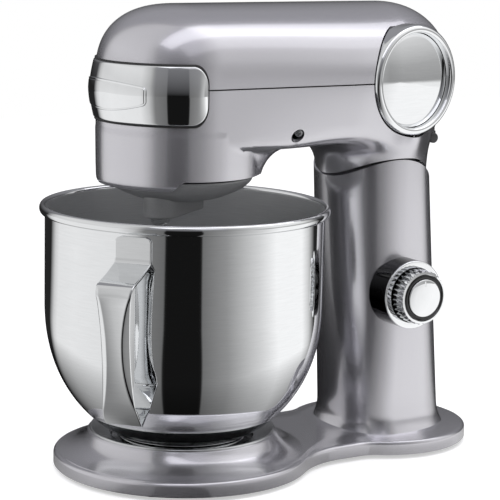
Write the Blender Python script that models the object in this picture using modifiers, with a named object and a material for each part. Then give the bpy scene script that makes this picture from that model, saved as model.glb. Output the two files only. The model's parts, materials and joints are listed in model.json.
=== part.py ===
"""Tilt-head stand mixer: a die-cast stand and head, a steel bowl, and the drive train inside the head.

Metres, +Z up. The front (nose and bowl) is at -Y, the speed dial at +X, and the origin lies on the
table under the middle of the whole object. Heights are above the table. Distances along Y are given
from the bowl's axis, which is also the stand's main datum.
"""

import math

import bmesh
import bpy
from mathutils import Matrix, Vector

# ---------------------------------------------------------------- driving dimensions
GAP = 0.0003  # clearance between pieces that touch
RUN = 0.0005  # clearance between pieces that turn or slide on each other

# Base
BASE_FRONT_R = 0.100  # round front of the base, about the bowl's axis
BASE_WAIST = 0.0566  # half width of the waist
BASE_WAIST_FILLET_FRONT = 0.070
BASE_WAIST_FILLET_REAR = 0.025
BASE_LOBE_R = 0.0725  # round rear of the base
BASE_BOTTOM = 0.0033
BASE_EDGE_TOP = 0.0145
BASE_WALL = 0.003
COVER_THICK = 0.002
FOOT_R = 0.011
FOOT_INSET = 0.020  # foot axis in from the base's outline

# Bowl seat
SEAT_TOP = 0.031
SEAT_RUN = 0.020  # width of the slope outside the seat
WELL_R = 0.0554
SEAT_BAND = 0.0166  # well's edge to the seat's shoulder
SEAT_OUTER_R = WELL_R + SEAT_BAND
WELL_LIP = 0.0256
DECK = 0.003  # casting thickness under the well and over the base
LUGS = 3
LUG_SPAN = math.radians(30)
LIP_SPAN = math.radians(40)

# Bowl
BOWL_R = 0.1072
RIM_ROLL = 0.0042
RIM_R = BOWL_R + RIM_ROLL
RIM_TOP = 0.2074
RIM_DEPTH = 0.008
BOWL_SHOULDER = 0.131  # where the straight wall ends and the round bottom starts
BOWL_BASE = 0.027154  # underside of the flat bottom
BOWL_POWER = 2.15
BOWL_WALL = 0.0012
LUG_REACH = 0.0069  # bowl's foot ring to the well's edge
BOWL_FOOT_R = WELL_R - LUG_REACH
BOWL_FOOT_WALL = 0.0035
BOWL_FOOT_BOTTOM = 0.0178
HANDLE_ANGLE = math.radians(-50)
HANDLE_OUT = 0.0388  # bowl's wall to the handle's grip
HANDLE_REACH = BOWL_R + HANDLE_OUT
HANDLE_WIDTH = 0.0253
HANDLE_THICK = 0.0022
HANDLE_TOP = 0.198
HANDLE_BEND = 0.168
HANDLE_BOTTOM = 0.062

# Column
THROAT = 0.0648  # bowl's wall to the column's axis
COLUMN_Y = BOWL_R + THROAT  # column axis at the seam, from the bowl's axis
COLUMN_FOOT = 0.0148
COLUMN_TOP_FRONT = 0.044
COLUMN_TOP_REAR = 0.044
COLUMN_TOP_HALF = 0.0465
COLUMN_FOOT_FRONT = 0.029
COLUMN_FOOT_REAR = 0.065
COLUMN_FOOT_HALF = 0.0475
COLUMN_WALL = 0.0035
SEAM_R = 0.057  # the seam is a level cylinder, so it rides high at the sides
SEAM_TOP = 0.238
SEAM_AHEAD = 0.004  # crown of the seam, ahead of the column axis
SEAM_GAP = 0.0008

# Hinge
HINGE_BACK = 0.040  # hinge pin behind the column axis
HINGE_Z = 0.216
HINGE_PIN_R = 0.004
KNUCKLE_R = 0.0075
KNUCKLE_HALF = 0.026  # half length of the whole hinge
KNUCKLE_MID = 0.0117  # half length of the head's own knuckle
HINGE_NOTCH = 0.0028  # clearance round the knuckles

# Head
NOSE_Y = -0.007
NOSE_R = 0.0634
HEAD_TAPER = 0.0077
HEAD_REAR_SIDE = NOSE_R - HEAD_TAPER
HEAD_REAR_R = 0.0623
HEAD_TOP = 0.3593
PARTING = 0.300
CROWN_START = 0.305
NOSE_POWER = 2.5
REAR_POWER = 2.1
HEAD_WALL = 0.003
ARM_UNDER = 0.2525
DRUM_INSET = 0.0008
DRUM_R = NOSE_R - DRUM_INSET
DRUM_LIP = 0.225
DRUM_STEP = 0.2325
DRUM_STEP_Y = -0.034

# Front outlet and its cover
OUTLET_Z = 0.296
OUTLET_R = 0.020
OUTLET_BORE_R = 0.014
OUTLET_SHAFT_R = 0.006
OUTLET_BEARING = 0.0045  # length of the bearing at the bottom of the outlet's socket
COVER_HALF = 0.0218  # half height of the cover
COVER_SPAN = math.radians(80)
COVER_WALL = 0.0018
COVER_BULGE = 0.0026
PLAQUE_HALF = 0.0085
PLAQUE_SPAN = math.radians(41)

# Planetary drive
ECCENTRIC = 0.027
REST_ANGLE = math.radians(-58)
RING_TEETH = 36
PLANET_TEETH = 12
RING_OUTER_R = DRUM_R - HEAD_WALL - 0.0076
RING_BOTTOM = 0.2345
RING_HEIGHT = 0.009
PLANET_RIM = 0.0026  # gap round the planetary's disc
PLANET_DISC_R = DRUM_R - HEAD_WALL - PLANET_RIM
PLANET_TOP = 0.231
ARM_WIDTH = 0.026
ARM_TAIL = 0.018
ARM_BOTTOM = 0.2008
SHAFT_R = 0.0055
SHAFT_END = 0.172
DRIVE_PIN_Z = 0.1955
DRIVE_PIN_HALF = 0.0085
SPINDLE_R = 0.006
BEARING_R = 0.014
BEARING_HEIGHT = 0.0085
GEARBOX_R = 0.047
GEARBOX_PLATE = 0.2444
GEARBOX_LID = 0.3155
BEVEL_TEETH = 16
BEVEL_R = 0.016
BEVEL_FACE = 0.007

# Motor and belt
MOTOR_AHEAD = 0.064  # motor's axis ahead of the column's
MOTOR_Y = COLUMN_Y - MOTOR_AHEAD
MOTOR_R = 0.038
MOTOR_TOP = 0.308
MOTOR_WALL = 0.0025
ROTOR_R = 0.028
ROTOR_SHAFT_R = 0.004
FAN_R = 0.030
FAN_BLADES = 8
BELT_Z = 0.3265
BELT_WIDTH = 0.010
BELT_THICK = 0.002
BIG_PULLEY_R = 0.040
SMALL_PULLEY_R = 0.009

# Medallions
MEDAL_Z = 0.301
MEDAL_R = 0.0435
MEDAL_RING = 0.0065
MEDAL_FACE = HEAD_REAR_SIDE + 0.0028  # centre of the face, from the middle plane
MEDAL_DEPTH = 0.013
MEDAL_TOE = math.radians(9)

# Speed dial
DIAL_Z = 0.132
BEZEL_R = 0.0273
BEZEL_OUT = 0.0650
DIAL_R = 0.0215
DIAL_FACE_R = 0.0182
DIAL_OUT = 0.0800
DIAL_SHAFT_R = 0.003

# Head lock
DECK_Z = 0.2410
DECK_THICK = 0.0025
LOCK_PIVOT_BACK = 0.024
LOCK_PIVOT_Z = 0.2540
LOCK_HALF = 0.013
LOCK_REACH = 0.0545
LOCK_THICK = 0.006
BOLT_HALF = 0.004
BOLT_HEIGHT = 0.006
BOLT_NOSE_BACK = -0.0160
KEEPER_BACK = -0.0222
KEEPER_THICK = 0.0055

# Screws and gland
SCREW_Y = 0.070
SCREW_Z = 0.2625
SCREW_R = 0.0035
GLAND_Z = 0.034
GLAND_R = 0.0065

# ---------------------------------------------------------------- derived places
HANDLE_FRONT = (HANDLE_REACH * math.sin(-HANDLE_ANGLE)
                + HANDLE_WIDTH / 2 * math.cos(HANDLE_ANGLE))
LOBE_Y = COLUMN_Y + 0.0145
BASE_REAR = LOBE_Y + BASE_LOBE_R
BOWL_Y = (HANDLE_FRONT - BASE_REAR) / 2  # centres the whole object on the origin


def at(y):
    """World Y of a distance behind the bowl's axis."""
    return BOWL_Y + y


COL_Y = at(COLUMN_Y)
NOSE = at(NOSE_Y)
HINGE_Y = COL_Y + HINGE_BACK
SEAM_Y = COL_Y - SEAM_AHEAD
SEAM_Z = SEAM_TOP - SEAM_R
SHAFT_X = ECCENTRIC * math.cos(REST_ANGLE)
SHAFT_Y = NOSE + ECCENTRIC * math.sin(REST_ANGLE)
GEAR_MODULE = 2 * ECCENTRIC / (RING_TEETH - PLANET_TEETH)
BEVEL_APEX = Vector((0, NOSE, OUTLET_Z))
MOTOR = at(MOTOR_Y)
LOCK_PIVOT_Y = COL_Y + LOCK_PIVOT_BACK
DRUM_INNER = DRUM_R - HEAD_WALL

# ---------------------------------------------------------------- scene and helpers
PARTS = None
CUTTERS = None


def clear_scene():
    global PARTS, CUTTERS
    for obj in list(bpy.data.objects):
        bpy.data.objects.remove(obj, do_unlink=True)
    PARTS = bpy.data.collections.new("stand_mixer")
    CUTTERS = bpy.data.collections.new("cutters")
    bpy.context.scene.collection.children.link(PARTS)
    bpy.context.scene.collection.children.link(CUTTERS)


def paint(name, colour, roughness, metallic):
    found = bpy.data.materials.get(name)
    if found:
        return found
    material = bpy.data.materials.new(name)
    material.use_nodes = True
    shader = material.node_tree.nodes["Principled BSDF"]
    shader.inputs["Base Color"].default_value = (*colour, 1)
    shader.inputs["Roughness"].default_value = roughness
    shader.inputs["Metallic"].default_value = metallic
    return material


FINISHES = {
    "silver_paint": ((0.30, 0.30, 0.32), 0.28, 0.6),
    "polished_steel": ((0.62, 0.62, 0.63), 0.08, 1.0),
    "chrome": ((0.70, 0.70, 0.72), 0.10, 1.0),
    "dark_chrome": ((0.25, 0.25, 0.27), 0.18, 1.0),
    "grey_casting": ((0.16, 0.16, 0.17), 0.45, 0.4),
    "steel": ((0.42, 0.42, 0.43), 0.35, 1.0),
    "gear_plastic": ((0.75, 0.73, 0.66), 0.50, 0.0),
    "black_plastic": ((0.03, 0.03, 0.033), 0.45, 0.0),
    "rubber": ((0.02, 0.02, 0.02), 0.80, 0.0),
    "copper_windings": ((0.45, 0.20, 0.10), 0.45, 0.8),
    "circuit_board": ((0.03, 0.15, 0.06), 0.55, 0.0),
}


def finish(obj, slot):
    obj.data.materials.clear()
    obj.data.materials.append(paint(slot, *FINISHES[slot]))
    return obj


def smooth(obj, angle=35):
    obj.data.shade_smooth()
    obj.data.set_sharp_from_angle(angle=math.radians(angle))
    return obj


def add_object(name, bm, slot=None, parent=None, place=(0, 0, 0)):
    """An object from a bmesh whose points are measured from place. Without a slot it is a cutter."""
    bmesh.ops.recalc_face_normals(bm, faces=bm.faces)
    mesh = bpy.data.meshes.new(name)
    bm.to_mesh(mesh)
    bm.free()
    obj = bpy.data.objects.new(name, mesh)
    (PARTS if slot else CUTTERS).objects.link(obj)
    obj.location = place
    if slot:
        finish(obj, slot)
        smooth(obj)
    else:
        obj.hide_render = True
        obj.display_type = "WIRE"
    if parent:
        obj.parent = parent
        obj.location = Vector(place) - parent.location
    return obj


def pivot(name, place):
    """An empty on a joint's axis, which a moving body's pieces are parented to."""
    empty = bpy.data.objects.new(name, None)
    empty.location = place
    PARTS.objects.link(empty)
    return empty


def box_mesh(low, high, edge=0.0, segments=1):
    bm = bmesh.new()
    bmesh.ops.create_cube(bm, size=1)
    size = Vector(high) - Vector(low)
    middle = (Vector(high) + Vector(low)) / 2
    bmesh.ops.scale(bm, vec=size, verts=bm.verts)
    bmesh.ops.translate(bm, vec=middle, verts=bm.verts)
    if edge:
        bmesh.ops.bevel(bm, geom=bm.edges[:], offset=edge, segments=segments,
                        affect="EDGES", profile=0.5, material=-1)
    return bm


def rod_mesh(radius, length, axis="Z", start=(0, 0, 0), segments=16, end_radius=None):
    """A cylinder or cone from start along +axis."""
    bm = bmesh.new()
    bmesh.ops.create_cone(bm, cap_ends=True, segments=segments, radius1=radius,
                          radius2=radius if end_radius is None else end_radius, depth=length)
    bmesh.ops.translate(bm, vec=(0, 0, length / 2), verts=bm.verts)
    turn = {"Z": Matrix(), "X": Matrix.Rotation(math.pi / 2, 4, "Y"),
            "Y": Matrix.Rotation(-math.pi / 2, 4, "X")}[axis]
    bmesh.ops.transform(bm, matrix=Matrix.Translation(start) @ turn, verts=bm.verts)
    return bm


def joined(*parts):
    """One bmesh holding several that don't meet."""
    whole = bmesh.new()
    for bm in parts:
        mesh = bpy.data.meshes.new("piece")
        bm.to_mesh(mesh)
        bm.free()
        whole.from_mesh(mesh)
        bpy.data.meshes.remove(mesh)
    return whole


def turned(name, profile, slot, place, segments=32, parent=None, axis="Z"):
    """A profile of (radius, height) turned about the axis through place. It runs down its outer side."""
    mesh = bpy.data.meshes.new(name)
    ring = profile[0][0] > 1e-6 or profile[-1][0] > 1e-6
    count = len(profile)
    edges = [(i, i + 1) for i in range(count - 1)] + ([(count - 1, 0)] if ring else [])
    mesh.from_pydata([(r, 0, z) for r, z in profile], edges, [])
    obj = bpy.data.objects.new(name, mesh)
    (PARTS if slot else CUTTERS).objects.link(obj)
    screw = obj.modifiers.new("turn", "SCREW")
    screw.steps = screw.render_steps = segments
    screw.use_merge_vertices = True
    screw.merge_threshold = 0.00001
    screw.use_smooth_shade = True
    obj.rotation_euler = {"Z": (0, 0, 0), "X": (0, math.pi / 2, 0), "Y": (-math.pi / 2, 0, 0)}[axis]
    obj.location = place
    if slot:
        finish(obj, slot)
    else:
        obj.hide_render = True
        obj.display_type = "WIRE"
    if parent:
        obj.parent = parent
        obj.location = Vector(place) - parent.location
    return obj


def tube_profile(outer, inner, low, high):
    return [(inner, high), (outer, high), (outer, low), (inner, low)]


def boolean(obj, other, operation="DIFFERENCE"):
    modifier = obj.modifiers.new(operation.lower(), "BOOLEAN")
    modifier.operation = operation
    modifier.object = other
    modifier.solver = "EXACT"
    return obj


def loft_mesh(rings, close=True):
    """Quads between rings of equal count, with both ends capped when close is set."""
    bm = bmesh.new()
    loops = [[bm.verts.new(p) for p in ring] for ring in rings]
    count = len(rings[0])
    for lower, upper in zip(loops, loops[1:]):
        for i in range(count):
            j = (i + 1) % count
            bm.faces.new((lower[i], lower[j], upper[j], upper[i]))
    if close:
        bm.faces.new(loops[0][::-1])
        bm.faces.new(loops[-1])
    return bm


def arc(cx, cy, radius, start, end, steps):
    return [(cx + radius * math.cos(start + (end - start) * i / steps),
             cy + radius * math.sin(start + (end - start) * i / steps)) for i in range(steps + 1)]


# ---------------------------------------------------------------- outlines
def base_outline(inset=0.0):
    """The base's plan as a closed loop: round front, waist with fillets, round rear."""
    front_r, lobe_r, waist = BASE_FRONT_R - inset, BASE_LOBE_R - inset, BASE_WAIST - inset
    rear_fillet = math.sqrt((BASE_LOBE_R + BASE_WAIST_FILLET_REAR) ** 2
                            - (BASE_WAIST + BASE_WAIST_FILLET_REAR) ** 2)
    room = LOBE_Y - rear_fillet - 0.002
    widest = (room ** 2 - BASE_FRONT_R ** 2 + BASE_WAIST ** 2) / (2 * (BASE_FRONT_R - BASE_WAIST))
    f1, f2 = min(BASE_WAIST_FILLET_FRONT, widest) + inset, BASE_WAIST_FILLET_REAR + inset
    y1 = math.sqrt((front_r + f1) ** 2 - (waist + f1) ** 2)
    y2 = LOBE_Y - math.sqrt((lobe_r + f2) ** 2 - (waist + f2) ** 2)
    turn1 = math.atan2(y1, waist + f1)
    turn2 = math.atan2(LOBE_Y - y2, waist + f2)
    half = arc(0, 0, front_r, -math.pi / 2, turn1, 16)
    half += arc(waist + f1, y1, f1, math.pi + turn1, math.pi, 5)[1:]
    half += arc(waist + f2, y2, f2, math.pi, math.pi - turn2, 4)
    half += arc(0, LOBE_Y, lobe_r, -turn2, math.pi / 2, 12)[1:]
    return half + [(-x, y) for x, y in half[-2:0:-1]]


def capsule(nose_r, side, rear, shift=0.0):
    """Plan of the head at one height: a round nose and an oval rear joined by straight sides."""
    lean = math.asin((nose_r - side) / (COLUMN_Y - NOSE_Y))
    half = arc(0, NOSE_Y, nose_r, -math.pi / 2, lean, 12)
    for i in range(1, 4):
        t = i / 4
        x = half[12][0] * (1 - t) + side * t
        half.append((x, half[12][1] * (1 - t) + COLUMN_Y * t))
    half += [(side * math.cos(a), COLUMN_Y + rear * math.sin(a))
             for a in (math.pi / 2 * i / 10 for i in range(11))]
    return [(x, y + shift) for x, y in half + [(-x, y) for x, y in half[-2:0:-1]]]


def flat_ring(outline, z):
    return [(x, at(y), z) for x, y in outline]


def crown(z, power, inset=0.0):
    """Share of the full radius left at a height in the head's domed top."""
    rise = (z - CROWN_START) / (HEAD_TOP - inset - CROWN_START)
    return (1 - max(0.0, min(1.0, rise)) ** power) ** (1 / power)


def column_section(z, inset=0.0, steps=32):
    """The column's plan at a height: an oval that leans back towards the foot."""
    drop = (SEAM_TOP - z) / (SEAM_TOP - COLUMN_FOOT)
    front = (COLUMN_TOP_FRONT + (COLUMN_FOOT_FRONT - COLUMN_TOP_FRONT) * drop ** 2) - inset
    rear = (COLUMN_TOP_REAR + (COLUMN_FOOT_REAR - COLUMN_TOP_REAR) * drop) - inset
    half = COLUMN_TOP_HALF + (COLUMN_FOOT_HALF - COLUMN_TOP_HALF) * drop - inset
    middle, reach = (rear - front) / 2, (rear + front) / 2
    points = []
    for i in range(steps):
        a = 2 * math.pi * i / steps
        points.append((half * math.cos(a), COL_Y + middle + reach * math.sin(a), z))
    return points


def gear_outline(teeth, module, inner=False, backlash=0.22):
    """Teeth as tapered blocks, as (radius, angle) points. A tooth is centred on angle 0."""
    pitch = teeth * module / 2
    tall, deep = 0.75 * module, 0.95 * module
    top, root = (pitch - tall, pitch + deep) if inner else (pitch + tall, pitch - deep)
    step = 2 * math.pi / teeth
    wide, narrow = 0.30 - backlash / 4, 0.13
    points = []
    for i in range(teeth):
        for radius, share in ((root, -wide), (top, -narrow), (top, narrow), (root, wide)):
            points.append((radius, (i + share) * step))
    return points


def rolled(points, turn=0.0, scale=1.0):
    """(radius, angle) points as (x, y), turned and scaled."""
    return [(r * scale * math.cos(a + turn), r * scale * math.sin(a + turn)) for r, a in points]


def prism_mesh(points, along):
    """A flat closed outline of 3-D points pushed along a vector."""
    bm = bmesh.new()
    face = bm.faces.new([bm.verts.new(p) for p in points])
    pushed = bmesh.ops.extrude_face_region(bm, geom=[face])
    verts = [v for v in pushed["geom"] if isinstance(v, bmesh.types.BMVert)]
    bmesh.ops.translate(bm, vec=along, verts=verts)
    return bm


def sector_mesh(section, start, end, steps, centre=(0, 0)):
    """A (radius, height) outline swept round a vertical axis from one angle to another."""
    rings = []
    for i in range(steps + 1):
        a = start + (end - start) * i / steps
        rings.append([(centre[0] + r * math.cos(a), centre[1] + r * math.sin(a), z)
                      for r, z in section])
    return loft_mesh(rings)


def tube_loft_mesh(outer_low, outer_high, inner_high, inner_low):
    """A closed band between two outlines."""
    return loft_mesh([outer_low, outer_high, inner_high, inner_low, outer_low], close=False)


def cylinder_cutter(name, radius, low, high, axis="Z", centre=(0, 0, 0), segments=32):
    """A cutter from low to high along an axis through centre."""
    start = Vector(centre)
    start["XYZ".index(axis)] = low
    return add_object(name, rod_mesh(radius, high - low, axis, start, segments))


# ---------------------------------------------------------------- the stand
def base_casting():
    edge = 0.0035
    levels = [(BASE_BOTTOM, 0.0008), (BASE_BOTTOM + 0.0012, 0.0), (BASE_EDGE_TOP - edge, 0.0),
              (BASE_EDGE_TOP - edge / 4, edge / 4), (BASE_EDGE_TOP, edge)]
    base = add_object("base_casting", loft_mesh([flat_ring(base_outline(i), z) for z, i in levels]),
                      "silver_paint")
    crest = SEAT_OUTER_R - 0.0015
    mound = [(0, WELL_LIP), (WELL_R, WELL_LIP), (WELL_R + 0.006, WELL_LIP + 0.0018),
             (crest - 0.0025, SEAT_TOP - 0.0003), (crest, SEAT_TOP), (SEAT_OUTER_R, SEAT_TOP - 0.0012),
             (SEAT_OUTER_R + SEAT_RUN * 0.2, SEAT_TOP - 0.0070),
             (SEAT_OUTER_R + SEAT_RUN * 0.6, BASE_EDGE_TOP + 0.0040),
             (SEAT_OUTER_R + SEAT_RUN, BASE_EDGE_TOP + 0.0003),
             (SEAT_OUTER_R + SEAT_RUN, BASE_EDGE_TOP - DECK + 0.0005),
             (0, BASE_EDGE_TOP - DECK + 0.0005)]
    boolean(base, turned("seat_mound", mound, None, (0, BOWL_Y, 0), 48), "UNION")
    boolean(base, cylinder_cutter("seat_well", WELL_R, BASE_EDGE_TOP, 0.04,
                                  centre=(0, BOWL_Y, 0), segments=48))
    hollow = [flat_ring(base_outline(BASE_WALL), z) for z in (0.0, BASE_EDGE_TOP - DECK)]
    boolean(base, add_object("base_hollow", loft_mesh(hollow)))


def bottom_cover():
    low = BASE_BOTTOM + 0.0007
    rings = [flat_ring(base_outline(BASE_WALL + GAP), z) for z in (low, low + COVER_THICK)]
    add_object("bottom_cover", loft_mesh(rings), "black_plastic")
    front, rear = BASE_FRONT_R - FOOT_INSET, BASE_LOBE_R - FOOT_INSET
    reach = math.sqrt(0.5)
    places = {"front_left": (-front * reach, -front * reach), "front_right": (front * reach, -front * reach),
              "rear_left": (-rear * reach, LOBE_Y + rear * reach),
              "rear_right": (rear * reach, LOBE_Y + rear * reach)}
    for name, (x, y) in places.items():
        foot = [(0, low - GAP), (FOOT_R, low - GAP), (FOOT_R * 0.86, 0), (0, 0)]
        turned("foot_" + name, foot, "rubber", (x, at(y), 0), 16)


def bayonet_plate():
    low = BASE_EDGE_TOP + GAP
    top = low + 0.0025
    outer = WELL_R - GAP
    disc = [(0, top), (outer, top), (outer, low), (0, low)]
    plate = turned("bayonet_plate", disc, "steel", (0, BOWL_Y, 0), 48)
    lug_top = BOWL_FOOT_BOTTOM + 0.0030
    wall = outer - 0.0028
    hook = [(outer - 0.0002, top - 0.001), (outer - 0.0002, lug_top + 0.0034),
            (BOWL_FOOT_R + 0.0008, lug_top + 0.0034), (BOWL_FOOT_R + 0.0008, lug_top + 0.0008),
            (wall, lug_top + 0.0008), (wall, top - 0.001)]
    hooks = []
    for i in range(LUGS):
        middle = 2 * math.pi * i / LUGS
        hooks.append(sector_mesh(hook, middle - LIP_SPAN / 2, middle + LIP_SPAN / 2, 6, (0, BOWL_Y)))
    boolean(plate, add_object("bayonet_hooks", joined(*hooks)), "UNION")


def seam_cutter(name, radius, segments=64):
    """Everything above a level cylinder across the column, which leaves its domed top."""
    cap = add_object(name, box_mesh((-0.07, COL_Y - 0.08, SEAM_Z), (0.07, COL_Y + 0.08, SEAM_TOP + 0.03)))
    drum = cylinder_cutter(name + "_drum", radius, -0.08, 0.08, "X", (0, SEAM_Y, SEAM_Z), segments)
    return boolean(cap, drum)


def column_casting():
    levels = [COLUMN_FOOT, 0.045, 0.085, 0.125, 0.165, 0.205, SEAM_TOP + 0.003]
    column = add_object("column_casting", loft_mesh([column_section(z) for z in levels]), "silver_paint")
    boolean(column, seam_cutter("column_dome", SEAM_R))
    inner = [column_section(z, COLUMN_WALL) for z in [0.005] + levels[1:]]
    core = boolean(add_object("column_core", loft_mesh(inner)),
                   seam_cutter("column_inner_dome", SEAM_R - COLUMN_WALL))
    boolean(column, core)
    notch = KNUCKLE_HALF + 0.0013
    boolean(column, cylinder_cutter("hinge_notch", KNUCKLE_R + HINGE_NOTCH, -notch, notch, "X",
                                    (0, HINGE_Y, HINGE_Z), 24))
    boolean(column, cylinder_cutter("dial_hole", DIAL_SHAFT_R + 0.001, 0.030, 0.070, "X",
                                    (0, COL_Y, DIAL_Z), 16))
    boolean(column, cylinder_cutter("gland_hole", GLAND_R + GAP, COL_Y + 0.050, COL_Y + 0.080, "Y",
                                    (0, 0, GLAND_Z), 16))


def column_hinge():
    arm_low, arm_high = COL_Y + 0.0260, COL_Y + 0.0355
    low = HINGE_Z - 0.018
    bracket = add_object("column_hinge_bracket",
                         box_mesh((-0.0250, COL_Y + 0.020, low), (0.0250, arm_high, low + 0.007)), "steel")
    arms, knuckles = [], []
    inner, outer = KNUCKLE_MID + RUN, KNUCKLE_HALF
    for start in (-outer, inner):
        end = start + outer - inner
        arms.append(box_mesh((start + 0.0015, arm_low, low + 0.001), (end - 0.0015, arm_high, HINGE_Z)))
        knuckles.append(rod_mesh(KNUCKLE_R, outer - inner, "X", (start, HINGE_Y, HINGE_Z), 16))
    boolean(bracket, add_object("hinge_arms", joined(*arms)), "UNION")
    boolean(bracket, add_object("hinge_knuckles", joined(*knuckles)), "UNION")
    boolean(bracket, cylinder_cutter("hinge_bore", HINGE_PIN_R + 0.00035, -0.03, 0.03, "X",
                                     (0, HINGE_Y, HINGE_Z), 16))
    half = KNUCKLE_HALF - GAP
    add_object("hinge_pin", rod_mesh(HINGE_PIN_R, 2 * half, "X", (-half, HINGE_Y, HINGE_Z), 16), "steel")


def bolt_height():
    """Lowest point of the lock bolt."""
    return LOCK_PIVOT_Z - 0.0092


def keeper():
    low, high = COL_Y + KEEPER_BACK, COL_Y + KEEPER_BACK + KEEPER_THICK
    top = bolt_height() + BOLT_HEIGHT + 0.0035
    plate = add_object("lock_keeper", box_mesh((-0.008, low, SEAM_TOP - 0.012), (0.008, high, top)), "steel")
    boolean(plate, cylinder_cutter("keeper_seat", SEAM_R + GAP, -0.02, 0.02, "X", (0, SEAM_Y, SEAM_Z), 64))
    hole = box_mesh((-BOLT_HALF - RUN, low - 0.01, bolt_height() - RUN),
                    (BOLT_HALF + RUN, high + 0.01, bolt_height() + BOLT_HEIGHT + RUN))
    boolean(plate, add_object("keeper_hole", hole))


def dial_fittings():
    place = (0, COL_Y, DIAL_Z)
    profile = [(DIAL_SHAFT_R + 0.0006, BEZEL_OUT - 0.0012), (BEZEL_R - 0.0040, BEZEL_OUT - 0.0012),
               (BEZEL_R - 0.0030, BEZEL_OUT), (BEZEL_R - 0.0008, BEZEL_OUT),
               (BEZEL_R, BEZEL_OUT - 0.0010), (BEZEL_R - 0.0006, 0.030), (DIAL_SHAFT_R + 0.0006, 0.030)]
    bezel = turned("dial_bezel", profile, "dark_chrome", place, 32, axis="X")
    levels = [0.085, 0.125, 0.165, 0.205]
    boolean(bezel, add_object("bezel_seat", loft_mesh([column_section(z, -GAP) for z in levels])))
    inner = COLUMN_TOP_HALF - COLUMN_WALL - 0.0042
    sensor = [(0, inner), (0.012, inner), (0.012, inner - 0.014), (0, inner - 0.014)]
    turned("speed_sensor", sensor, "black_plastic", place, 16, axis="X")
    back = inner - 0.014 - GAP
    board = box_mesh((back - 0.0016, COL_Y - 0.024, DIAL_Z - 0.045), (back, COL_Y + 0.024, DIAL_Z + 0.025))
    add_object("control_board", board, "circuit_board")


def cord_gland():
    drop = (SEAM_TOP - GLAND_Z) / (SEAM_TOP - COLUMN_FOOT)
    rear = COLUMN_TOP_REAR + (COLUMN_FOOT_REAR - COLUMN_TOP_REAR) * drop
    face = rear + 0.0012
    profile = [(0.0035, face + 0.003), (GLAND_R + 0.0025, face + 0.003), (GLAND_R + 0.0025, face),
               (GLAND_R, face), (GLAND_R, face - 0.008), (0.0035, face - 0.008)]
    turned("cord_gland", profile, "rubber", (0, COL_Y, GLAND_Z), 16, axis="Y")


# ---------------------------------------------------------------- the bowl
def bowl_curve(inset=0.0, steps=12):
    """The bowl's round bottom from its shoulder to its foot, as (radius, height)."""
    end = math.acos((BOWL_FOOT_R / BOWL_R) ** (BOWL_POWER / 2))
    depth = (BOWL_SHOULDER - BOWL_BASE) / math.sin(end) ** (2 / BOWL_POWER) - inset
    radius = BOWL_R - inset
    end = math.acos((BOWL_FOOT_R / radius) ** (BOWL_POWER / 2))
    points = []
    for i in range(steps + 1):
        a = end * i / steps
        points.append((radius * math.cos(a) ** (2 / BOWL_POWER),
                       BOWL_SHOULDER - depth * math.sin(a) ** (2 / BOWL_POWER)))
    return points


def bowl(pivot_empty):
    outer = bowl_curve()
    inner = bowl_curve(BOWL_WALL)
    low = RIM_TOP - RIM_DEPTH
    rim = [(BOWL_R - BOWL_WALL, RIM_TOP - 0.003), (BOWL_R + 0.0008, RIM_TOP), (RIM_R - 0.0008, RIM_TOP - 0.0010),
           (RIM_R, RIM_TOP - 0.0035), (RIM_R - 0.0008, low + 0.0012), (BOWL_R + 0.001, low), (BOWL_R, low)]
    profile = [(0, inner[-1][1])] + inner[::-1] + rim + outer + [(0, outer[-1][1])]
    turned("bowl", profile, "polished_steel", (0, BOWL_Y, 0), 40, pivot_empty)
    top = outer[-1][1] - GAP
    foot = turned("bowl_foot", tube_profile(BOWL_FOOT_R, BOWL_FOOT_R - BOWL_FOOT_WALL, BOWL_FOOT_BOTTOM, top),
                  "polished_steel", (0, BOWL_Y, 0), 40, pivot_empty)
    reach = WELL_R - GAP - 0.0028 - RUN
    tab = [(BOWL_FOOT_R - 0.001, BOWL_FOOT_BOTTOM + 0.003), (reach, BOWL_FOOT_BOTTOM + 0.003),
           (reach, BOWL_FOOT_BOTTOM + 0.0003), (BOWL_FOOT_R - 0.001, BOWL_FOOT_BOTTOM + 0.0003)]
    tabs = []
    for i in range(LUGS):
        middle = 2 * math.pi * i / LUGS
        tabs.append(sector_mesh(tab, middle - LUG_SPAN / 2, middle + LUG_SPAN / 2, 4, (0, BOWL_Y)))
    boolean(foot, add_object("bowl_foot_lugs", joined(*tabs)), "UNION")


def bowl_handle(pivot_empty):
    """A folded steel strap, welded to the wall at the top and near the bottom."""
    wall = BOWL_R + GAP + HANDLE_THICK
    reach = HANDLE_REACH
    outer = [(wall, HANDLE_TOP), (wall, HANDLE_BEND + 0.0115), (reach - 0.0045, HANDLE_BEND + 0.001),
             (reach - 0.0010, HANDLE_BEND - 0.004), (reach, HANDLE_BEND - 0.028), (reach - 0.001, HANDLE_BEND - 0.050),
             (reach - 0.006, HANDLE_BEND - 0.075), (reach - 0.014, HANDLE_BOTTOM + 0.014),
             (reach - 0.0235, HANDLE_BOTTOM), (reach - 0.055, HANDLE_BOTTOM + 0.001)]
    inner = []
    for i, (r, z) in enumerate(outer):
        before, after = Vector(outer[max(i - 1, 0)]), Vector(outer[min(i + 1, len(outer) - 1)])
        step = (after - before).normalized()
        inner.append((r + step.y * HANDLE_THICK, z - step.x * HANDLE_THICK))
    out = Vector((math.cos(HANDLE_ANGLE), math.sin(HANDLE_ANGLE), 0))
    side = Vector((-out.y, out.x, 0))
    start = Vector((0, BOWL_Y, 0)) - side * HANDLE_WIDTH / 2
    outline = [start + out * r + Vector((0, 0, z)) for r, z in outer + inner[::-1]]
    add_object("bowl_handle", prism_mesh(outline, side * HANDLE_WIDTH), "polished_steel", pivot_empty)


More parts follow.
